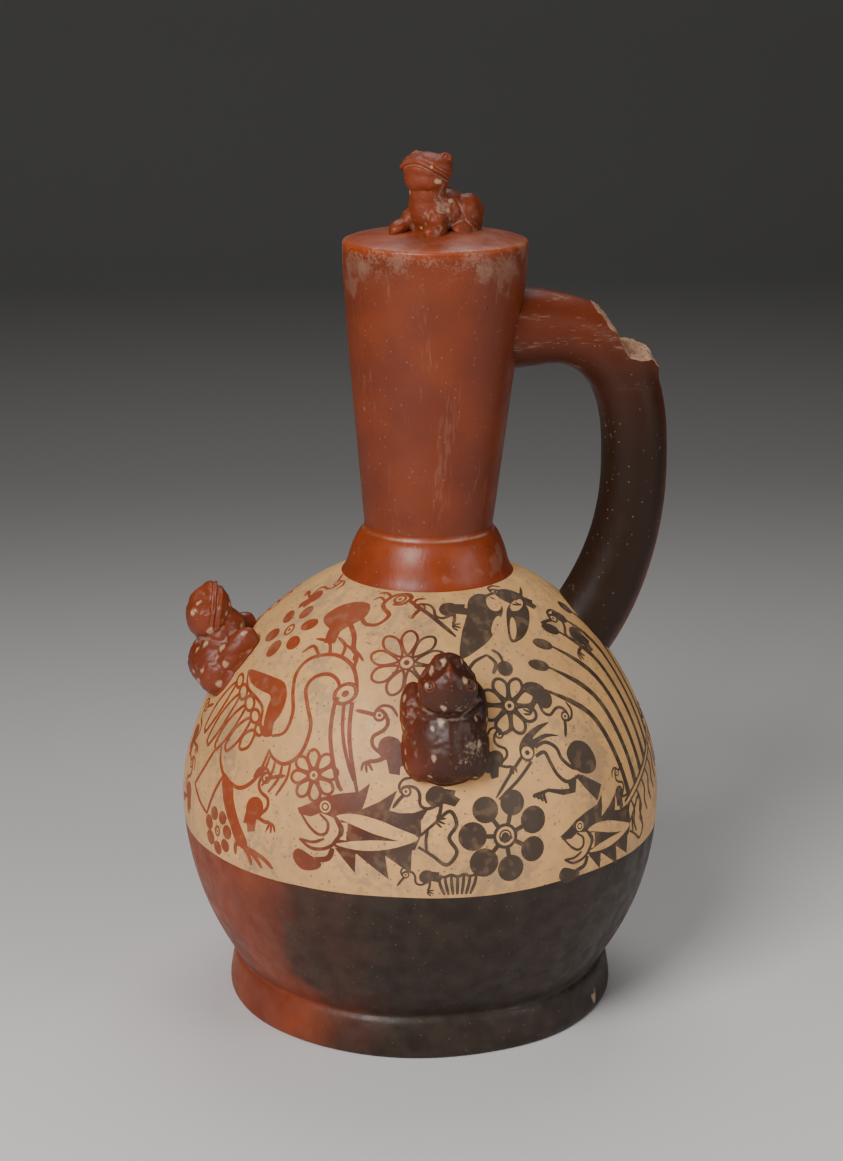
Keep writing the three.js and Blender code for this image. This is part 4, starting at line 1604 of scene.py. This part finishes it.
def small_bird(brush):
    brush.area(curve([(-3.6, 2.4), (-1.0, 4.4), (2.6, 3.6), (4.4, 0.4), (3.4, -2.8), (-0.6, -3.6),
                      (-3.6, -1.4)], closed=True, steps=4))
    brush.area([(-1.0, -2.4), (0.4, -7.8), (3.9, -8.2), (4.0, -5.4), (5.9, -5.0), (4.6, -1.4), (3.0, 0.5)])
    brush.line([(-2.4, -1.6), (-5.6, 0.8), (-5.8, 4.0), (-2.6, 6.2), (-1.3, 8.6), (-2.2, 11.4),
                (-4.2, 13.2)], 1.1, 1.0, 1.0)
    brush.ringed_eye(-4.4, 11.3, 1.75, 0.8)
    brush.line([(-5.6, 11.2), (-9.0, 11.9), (-12.8, 12.3)], 1.2, 1.0, 0.3)
    brush.line([(-5.9, 12.6), (-3.9, 14.6), (-0.6, 14.2), (1.7, 11.2)], 0.9, 1.0, 0.5)
    brush.line([(-1.6, -2.8), (-4.4, -4.0), (-6.6, -4.2)], 1.2, 1.0, 1.0)
    claws(brush, -6.4, -4.2)


def wader(brush):
    """A filled bird with a looped neck and a long straight beak."""
    brush.area(curve([(-7.4, -3.4), (-4.8, 2.6), (0.7, 6.4), (6.0, 6.4), (8.3, 1.6), (6.4, -2.6),
                      (2.6, -6.4), (-2.6, -6.6)], closed=True, steps=4))
    brush.area([(-2.2, -5.0), (-1.0, -9.2), (0.4, -12.6), (4.6, -11.8), (3.4, -7.0), (5.6, -3.0)])
    brush.line([(6.6, 0.6), (10.4, -2.2), (14.6, -1.6), (15.8, 2.6), (12.2, 5.4), (10.4, 7.4)],
               1.2, 1.0, 1.0)
    brush.line([(10.4, 7.4), (11.2, 11.6), (15.0, 13.4), (18.0, 11.4), (16.8, 8.4), (13.8, 8.0)],
               1.2, 1.0, 1.0)
    brush.ringed_eye(14.6, 10.6, 1.7, 0.7)
    brush.line([(17.4, 10.6), (30.0, 3.2), (44.0, -6.0)], 1.0, 1.0, 0.4)
    brush.line([(10.6, 8.6), (7.6, 10.4), (6.0, 8.8)], 0.8, 1.0, 0.5)
    brush.line([(11.2, 11.2), (8.2, 13.0), (5.8, 12.2)], 0.8, 1.0, 0.5)
    brush.line([(4.6, -3.0), (9.4, -7.4), (12.6, -12.4), (15.0, -14.2)], 1.4, 1.0, 0.9)
    claws(brush, 15.2, -13.8, 0.9, 2.4)


print("small birds are ready")

# %% Crane
def feather(brush, root, tip, half):
    root, tip = Vector(root), Vector(tip)
    along = (tip - root).normalized()
    across = Vector((-along.y, along.x)) * half
    brush.loop([root + across * 0.4, root.lerp(tip, 0.5) + across, tip + across * 0.55 - along, tip,
                tip - across * 0.55 - along, root.lerp(tip, 0.5) - across, root - across * 0.4], 0.95)


def crane(brush):
    brush.line([(-7.0, -5.4), (-2.2, -3.0), (-1.6, 4.0), (-5.2, 11.0), (-7.4, 17.6), (-4.6, 23.6),
                (3.8, 26.6), (12.0, 23.6), (17.4, 16.6), (18.2, 12.0)], 1.2)
    brush.line([(13.2, 11.0), (10.6, 17.0), (5.6, 19.4), (0.8, 17.4), (-0.4, 13.0), (3.2, 7.2),
                (7.2, 0.6), (6.6, -8.4), (1.6, -13.2), (-3.6, -12.6), (-6.8, -10.2)], 1.2)
    brush.line([(-32.0, -15.8), (-30.4, -20.4), (-26.0, -24.2), (-17.3, -25.8), (-11.4, -22.6),
                (-8.2, -17.6), (-6.4, -10.0)], 1.2)
    for start, middle, end in (((-5.6, -12.0), (-6.2, -16.0), (-9.0, -20.2)),
                               ((-2.8, -13.2), (-3.2, -17.6), (-6.4, -22.4)),
                               ((0.4, -13.6), (0.2, -18.2), (-3.0, -23.8)),
                               ((3.4, -12.4), (3.4, -17.8), (0.4, -24.2))):
        brush.line([start, middle, end], 0.9)
    brush.ringed_eye(14.7, 13.6, 3.6, 1.2)
    brush.line([(18.4, 11.0), (22.4, -2.0), (29.6, -18.4)], 1.2, 1.0, 0.7)
    brush.line([(16.0, 9.6), (20.4, -2.4), (27.4, -15.0)], 1.0, 1.0, 0.5)
    brush.line([(12.2, 12.0), (15.4, -1.6), (21.8, -15.4), (24.4, -18.6)], 1.2, 1.0, 0.7)
    for tuft in ([(-2.4, 25.2), (-6.8, 27.8), (-9.8, 24.4)], [(1.6, 26.4), (-1.6, 30.6), (-7.6, 30.6)],
                 [(6.4, 26.2), (5.2, 30.6), (0.6, 33.2)], [(13.0, 23.0), (10.8, 28.2), (5.4, 31.0)]):
        brush.line(tuft, 1.0, 1.0, 0.4)
    brush.area(curve([(-32.6, 11.4), (-25.0, 12.8), (-17.4, 13.2), (-10.6, 12.8), (-6.8, 8.8),
                      (-6.2, 3.0), (-8.0, -1.2), (-7.4, -5.0), (-10.6, -5.6), (-12.6, -2.0), (-13.2, 3.0),
                      (-14.0, 7.0), (-20.0, 7.4), (-27.0, 8.2)], closed=True, steps=3))
    brush.line([(-32.6, 11.0), (-28.0, 6.4), (-20.0, 4.4), (-15.4, 2.0), (-13.8, -3.2), (-10.8, -6.0),
                (-7.2, -5.2)], 1.0)
    roots = [(-37.6, 4.0), (-31.6, 1.6), (-25.4, -0.6), (-20.2, -3.4), (-16.0, -6.4)]
    tips = [(-49.6, -15.4), (-43.4, -18.0), (-36.2, -17.4), (-29.0, -15.8), (-20.8, -13.2)]
    for root, tip in zip(roots, tips):
        feather(brush, root, tip, 2.5)
    for x, y, size in ((-35.0, 6.6, 2.6), (-29.4, 4.2, 2.9), (-23.0, 2.0, 2.9), (-17.8, -1.2, 2.6),
                       (-13.8, -5.0, 2.1)):
        brush.loop(oval(x, y, size, size * 0.78, -28, sides=12), 0.95)
    brush.line([(-35.5, -17.6), (-41.8, -26.4), (-48.0, -33.7)], 1.0)
    brush.line([(-48.0, -33.7), (-41.6, -37.6), (-34.8, -39.9)], 1.0)
    brush.line([(-34.8, -39.9), (-31.0, -31.4), (-26.5, -23.9)], 1.0)
    brush.area(curve([(-27.4, -23.4), (-24.4, -32.0), (-19.2, -39.0), (-15.4, -44.2), (-11.2, -45.6),
                      (-10.0, -42.6), (-14.4, -37.0), (-18.6, -30.4), (-20.6, -25.6)], closed=True,
                     steps=3))
    for toe in ([(-13.6, -44.0), (-15.8, -45.2), (-16.0, -48.6)],
                [(-12.6, -44.0), (-9.4, -47.0), (-8.2, -50.4)],
                [(-11.4, -44.4), (-6.4, -47.0), (-3.4, -50.2)],
                [(-10.8, -44.6), (-3.0, -46.4), (1.4, -49.4)]):
        brush.line(toe, 1.4, 1.0, 0.5)


print("crane is ready")

# %% Ibis
def ibis(brush):
    brush.area(curve([(7.0, 0.6), (11.0, 3.8), (16.4, 2.2), (19.6, -3.0), (18.8, -7.4), (14.0, -8.0),
                      (8.8, -4.8)], closed=True, steps=4))
    brush.area([(8.6, -7.4), (11.8, -7.8), (20.4, -13.2), (17.2, -18.0), (12.4, -12.6)])
    brush.line([(-4.8, 5.0), (-0.6, 6.0), (3.2, 3.4), (4.6, -0.8), (8.4, -4.6), (12.6, -5.6)],
               1.1, 1.0, 0.8)
    brush.line([(-5.4, 2.0), (-1.8, 2.8), (-0.4, -1.0), (1.4, -5.4), (5.0, -8.6), (10.8, -7.6)],
               1.1, 1.0, 0.8)
    brush.area(curve([(-10.8, 2.4), (-10.4, 6.4), (-7.0, 9.8), (-1.6, 12.0), (3.2, 12.2), (-1.4, 10.2),
                      (-5.0, 7.8), (0.4, 8.8), (5.6, 7.0), (0.6, 7.4), (-4.6, 5.6), (-5.8, 2.4),
                      (-8.4, 0.6)], closed=True, steps=3))
    brush.dot(-8.2, 3.7, 2.1, cream=True)
    brush.dot(-8.2, 3.7, 0.9)
    brush.line([(-10.6, 2.6), (-16.4, -2.8), (-22.6, -9.6)], 0.95, 1.0, 0.5)
    brush.line([(-7.4, 0.6), (-13.8, -4.8), (-21.8, -10.2)], 0.95, 1.0, 0.5)
    brush.area([(4.8, -8.4), (9.0, -8.4), (7.6, -12.8), (2.4, -12.6), (-3.4, -10.4), (-3.4, -9.2),
                (2.0, -10.6), (5.4, -11.0)])
    for i in range(4):
        x = -3.6 - 1.2 * i
        brush.line([(-3.0, -9.8), (x - 1.6, -10.6), (x - 1.2, -14.0 + 0.9 * i)], 0.9, 1.0, 0.5)


print("ibis is ready")

# %% [markdown]
# ### Fish
#
# The fish are dark, with saw-toothed fins, open jaws and a pale side split by a wedge.

# %% Fish
def fish(brush, barbel=True):
    brush.area([(-20.4, 3.4), (-16.4, 5.4), (-12.0, 8.2), (-6.0, 10.2), (1.0, 11.6), (4.4, 14.6),
                (3.6, 9.6), (2.6, 6.0), (8.0, 8.8), (13.6, 12.8), (11.6, 6.2), (15.0, 5.4), (19.6, 5.6),
                (24.6, 7.4), (22.2, 3.0), (22.6, -1.8), (20.8, -6.6), (14.0, -8.2), (6.0, -9.2),
                (-2.0, -8.8), (-7.6, -6.8), (-4.4, -2.2), (-7.0, 2.2), (-11.6, 3.2), (-15.2, 1.4),
                (-19.4, 1.6)])
    for outline in ([(-6.2, -7.6), (1.0, -15.6), (1.2, -8.6)], [(1.4, -8.8), (12.4, -17.0), (11.0, -8.4)],
                    [(10.8, -8.6), (19.6, -14.6), (19.8, -6.6)]):
        brush.area(outline)
    brush.area(curve([(-6.4, 2.6), (-1.0, 4.2), (7.0, 3.2), (15.0, 0.4), (21.8, -2.6), (17.0, -5.2),
                      (9.0, -7.2), (1.0, -7.6), (-6.4, -6.2), (-3.4, -3.4), (-3.4, 0.0)], closed=True,
                     steps=3), cream=True)
    brush.area([(-4.6, 2.0), (1.0, 0.2), (7.0, -1.8), (15.4, -3.8), (7.0, -3.9), (0.0, -4.8),
                (-5.6, -6.2), (-3.4, -2.4)])
    brush.line([(-19.4, 2.6), (-15.6, -1.8), (-12.0, -4.0), (-9.2, -3.0), (-9.0, 0.4), (-12.0, 2.8)], 0.9)
    brush.line([(-19.0, -6.6), (-14.4, -9.0), (-9.0, -8.2), (-5.0, -4.6), (-4.6, 0.4), (-7.4, 3.2)], 1.0)
    brush.line([(-19.0, -6.6), (-14.0, -6.9), (-10.0, -5.2)], 0.9)
    brush.dot(-10.2, 5.4, 2.0, cream=True)
    brush.loop(oval(-10.2, 5.4, 1.1, 1.1, sides=10), 0.5)
    brush.line([(22.4, -1.8), (27.0, 2.4), (31.4, 6.0), (34.0, 1.6), (31.8, -2.8), (34.6, -7.6),
                (31.4, -11.8), (26.6, -8.6), (21.8, -5.6)], 1.1)
    brush.line([(24.6, 0.2), (24.2, -3.4), (24.6, -7.2)], 0.9)
    if barbel:
        brush.line([(-6.8, -8.0), (-8.4, -11.6), (-13.0, -12.8)], 1.6, 0.8, 1.0)
        brush.area(curve([(-10.8, -13.8), (-14.6, -11.6), (-19.6, -10.0), (-21.4, -13.4), (-18.0, -17.0),
                          (-12.6, -16.2)], closed=True, steps=4))


def broad_leaf(brush):
    """A dark wedge with pale leaves scraped out of it, and a filled bud beside it."""
    brush.area(curve([(-25.0, -12.4), (-17.4, -9.6), (-10.0, -5.2), (-3.0, 1.4), (1.6, 6.6), (1.0, 12.0),
                      (-3.4, 15.6), (-9.0, 13.0), (-14.0, 5.6), (-20.0, -2.4)], closed=True, steps=4))
    brush.area(curve([(-3.6, -8.2), (2.4, -7.6), (8.6, -2.6), (12.6, 3.8), (9.6, 8.2), (3.8, 6.4),
                      (-0.4, 0.6)], closed=True, steps=4))
    brush.area(curve([(3.0, 15.0), (9.4, 14.6), (14.8, 9.0), (9.6, 8.0), (4.6, 9.2)], closed=True, steps=4))
    for x, y, wide, high, tilt in ((-0.4, 9.8, 4.4, 2.9, 60), (8.4, 6.2, 4.2, 2.0, 20),
                                   (-5.4, -0.4, 5.0, 1.5, 48), (0.4, -3.0, 5.2, 1.3, 62)):
        brush.area(oval(x, y, wide, high, tilt), cream=True)
    brush.line([(-25.0, -13.0), (-28.2, -17.0), (-26.0, -18.6), (-20.6, -14.2), (-15.0, -12.0)], 1.0)
    brush.line([(-15.0, -12.0), (-13.2, -15.8), (-15.8, -19.6)], 1.2)
    brush.line([(9.4, 8.8), (14.0, 9.8), (17.6, 12.6)], 1.2, 1.0, 0.4)


print("fish are ready")

# %% Lay out the front of the band
FRONT_FIGURES = [
    (crane, -42.8, 116.8, {}),
    (wader, -46.9, 147.6, {}),
    (dot_flower, -67.8, 139.9, {"turn": 20, "count": 6, "reach": 11.5, "dot": 3.3, "squash": 0.8}),
    (dot_flower, -60.8, 75.6, {"count": 7, "reach": 8.6, "dot": 2.5}),
    (petal_flower, -33.1, 103.4, {"count": 8, "reach": 8.6, "width": 0.9}),
    (petal_flower, -12.6, 137.6, {"count": 9, "reach": 12.6, "width": 0.8}),
    (petal_flower, 19.4, 124.4, {"count": 8, "reach": 10.2, "width": 1.0}),
    (dot_flower, 13.0, 85.6, {"turn": 8, "count": 7, "reach": 15.8, "dot": 4.6, "stalks": True}),
    (bud, 21.2, 134.6, {}),
    (comb, 1.8, 70.2, {}),
    (fish, -21.8, 89.2, {}),
    (fish, 38.7, 79.2, {"scale": 0.84}),
    (ibis, 27.6, 106.9, {}),
    (reeds, 53.1, 125.8, {}),
    (broad_leaf, 31.0, 146.0, {"scale": 0.95}),
]
FRONT_BIRDS = [
    (-48.0, 88.4, 10, 0.95, True), (-14.4, 113.4, 0, 1.0, False), (-2.6, 99.4, 58, 0.85, False),
    (-5.0, 73.4, 62, 0.58, False), (30.8, 124.6, -118, 0.85, True), (12.6, 109.4, 4, 0.72, True),
    (48.4, 88.8, 14, 0.6, True), (4.8, 150.6, 60, 0.8, False), (62.0, 136.4, 4, 0.95, False),
    (47.0, 150.0, 20, 0.75, False), (-76.0, 148.6, -30, 0.75, False), (-86.0, 98.0, 20, 0.9, True),
    (-80.0, 80.0, -10, 0.85, False),
]


def lay_out(figures, birds):
    """Paints the large figures first. A bird has its azimuth, height, turn, scale and mirror."""
    for draw, azimuth, height, choices in figures:
        apply_paint(draw, azimuth, height, **choices)
    for azimuth, height, turn, scale, mirror in birds:
        apply_paint(small_bird, azimuth, height, turn, scale, mirror)


lay_out(FRONT_FIGURES, FRONT_BIRDS)
print("front has", len(paint.faces), "faces")

# %% [markdown]
# ### The side turned away
#
# The band goes all round. The back repeats the same figures, further apart.

# %% Lay out the back of the band
BACK_FIGURES = [
    (crane, 138.0, 116.0, {"mirror": True}),
    (wader, 128.0, 147.0, {}),
    (fish, 114.0, 85.0, {"mirror": True}),
    (fish, -126.0, 84.0, {}),
    (ibis, -128.0, 112.0, {"mirror": True}),
    (petal_flower, 98.0, 110.0, {"count": 9, "reach": 11.5, "width": 0.9}),
    (petal_flower, -152.0, 100.0, {"count": 8, "reach": 10.0, "width": 0.9}),
    (petal_flower, -112.0, 138.0, {"count": 9, "reach": 11.0, "width": 0.8}),
    (dot_flower, -160.0, 140.0, {"count": 6, "reach": 11.0, "dot": 3.2}),
    (dot_flower, 168.0, 82.0, {"count": 7, "reach": 14.0, "dot": 4.1, "stalks": True}),
    (dot_flower, 92.0, 138.0, {"count": 6, "reach": 10.0, "dot": 3.0}),
    (bud, -145.0, 124.0, {"turn": 30}),
    (comb, -170.0, 70.2, {}),
]
BACK_BIRDS = [
    (84.0, 94.0, 10, 0.95, False), (160.0, 108.0, 0, 0.9, True), (-104.0, 120.0, 30, 0.9, False),
    (-166.0, 116.0, -20, 0.85, True), (-98.0, 74.0, 40, 0.8, False), (146.0, 74.0, 58, 0.7, False),
    (-138.0, 148.0, 20, 0.8, False),
]
lay_out(BACK_FIGURES, BACK_BIRDS)
print("both sides have", len(paint.faces), "faces")

# %% The painted figures as one piece
bmesh.ops.triangulate(paint, faces=[face for face in paint.faces if len(face.verts) > 4])
paint_mesh = bpy.data.meshes.new("painted_figures")
paint.to_mesh(paint_mesh)
paint.free()
for material in (FIGURE_SLIP, CREAM_PAINT):
    paint_mesh.materials.append(material)
figures = bpy.data.objects.new("painted_figures", paint_mesh)
bpy.context.collection.objects.link(figures)
finished(figures)
figures.data.set_sharp_from_angle(angle=math.radians(PAINT_EDGE_DEGREES))

# %% Floor and backdrop
FLOOR_GREY = (0.8, 0.765, 0.75, 1.0)
BACKDROP_SHADE_GREY = (0.2, 0.195, 0.19, 1.0)
FLOOR_SHADE_FADE = (-0.35, 0.85)
FLOOR_WIDTH = 6.0
BACKDROP_BEND = 1.6
BACKDROP_RADIUS = 0.9
BACKDROP_STEPS = 12
BACKDROP_HEIGHT = 3.0
FLOOR_FRONT = -2.5


def make_floor():
    bm = bmesh.new()
    path = [(FLOOR_FRONT, 0.0), (BACKDROP_BEND, 0.0)]
    for i in range(1, BACKDROP_STEPS + 1):
        angle = math.radians(90 * i / BACKDROP_STEPS)
        out, up = BACKDROP_RADIUS * math.sin(angle), BACKDROP_RADIUS * (1 - math.cos(angle))
        path.append((BACKDROP_BEND + out, up))
    path.append((BACKDROP_BEND + BACKDROP_RADIUS, BACKDROP_HEIGHT))
    verts = [bm.verts.new((-FLOOR_WIDTH / 2, y, z)) for y, z in path]
    edges = [bm.edges.new(pair) for pair in zip(verts, verts[1:])]
    bmesh.ops.translate(bm, verts=extruded(bm, edges)[1], vec=(FLOOR_WIDTH, 0, 0))
    floor = as_object(bm, "floor", [])
    floor.data.shade_smooth()
    material, tree, shader, where = new_material("floor_paper")
    depth = put(tree, "ShaderNodeSeparateXYZ", {0: where}).outputs[1]
    # Painted shade: the floor's colour fades from pale at the front to dark grey at the back and up the
    # backdrop, as the light falls off.
    colour = mixed(tree, ramped(tree, depth, FLOOR_SHADE_FADE[0], FLOOR_SHADE_FADE[1]), FLOOR_GREY, BACKDROP_SHADE_GREY)
    tree.links.new(colour, shader.inputs["Base Color"])
    shader.inputs["Roughness"].default_value = 0.8
    floor.data.materials.append(material)


make_floor()
print("floor is laid")
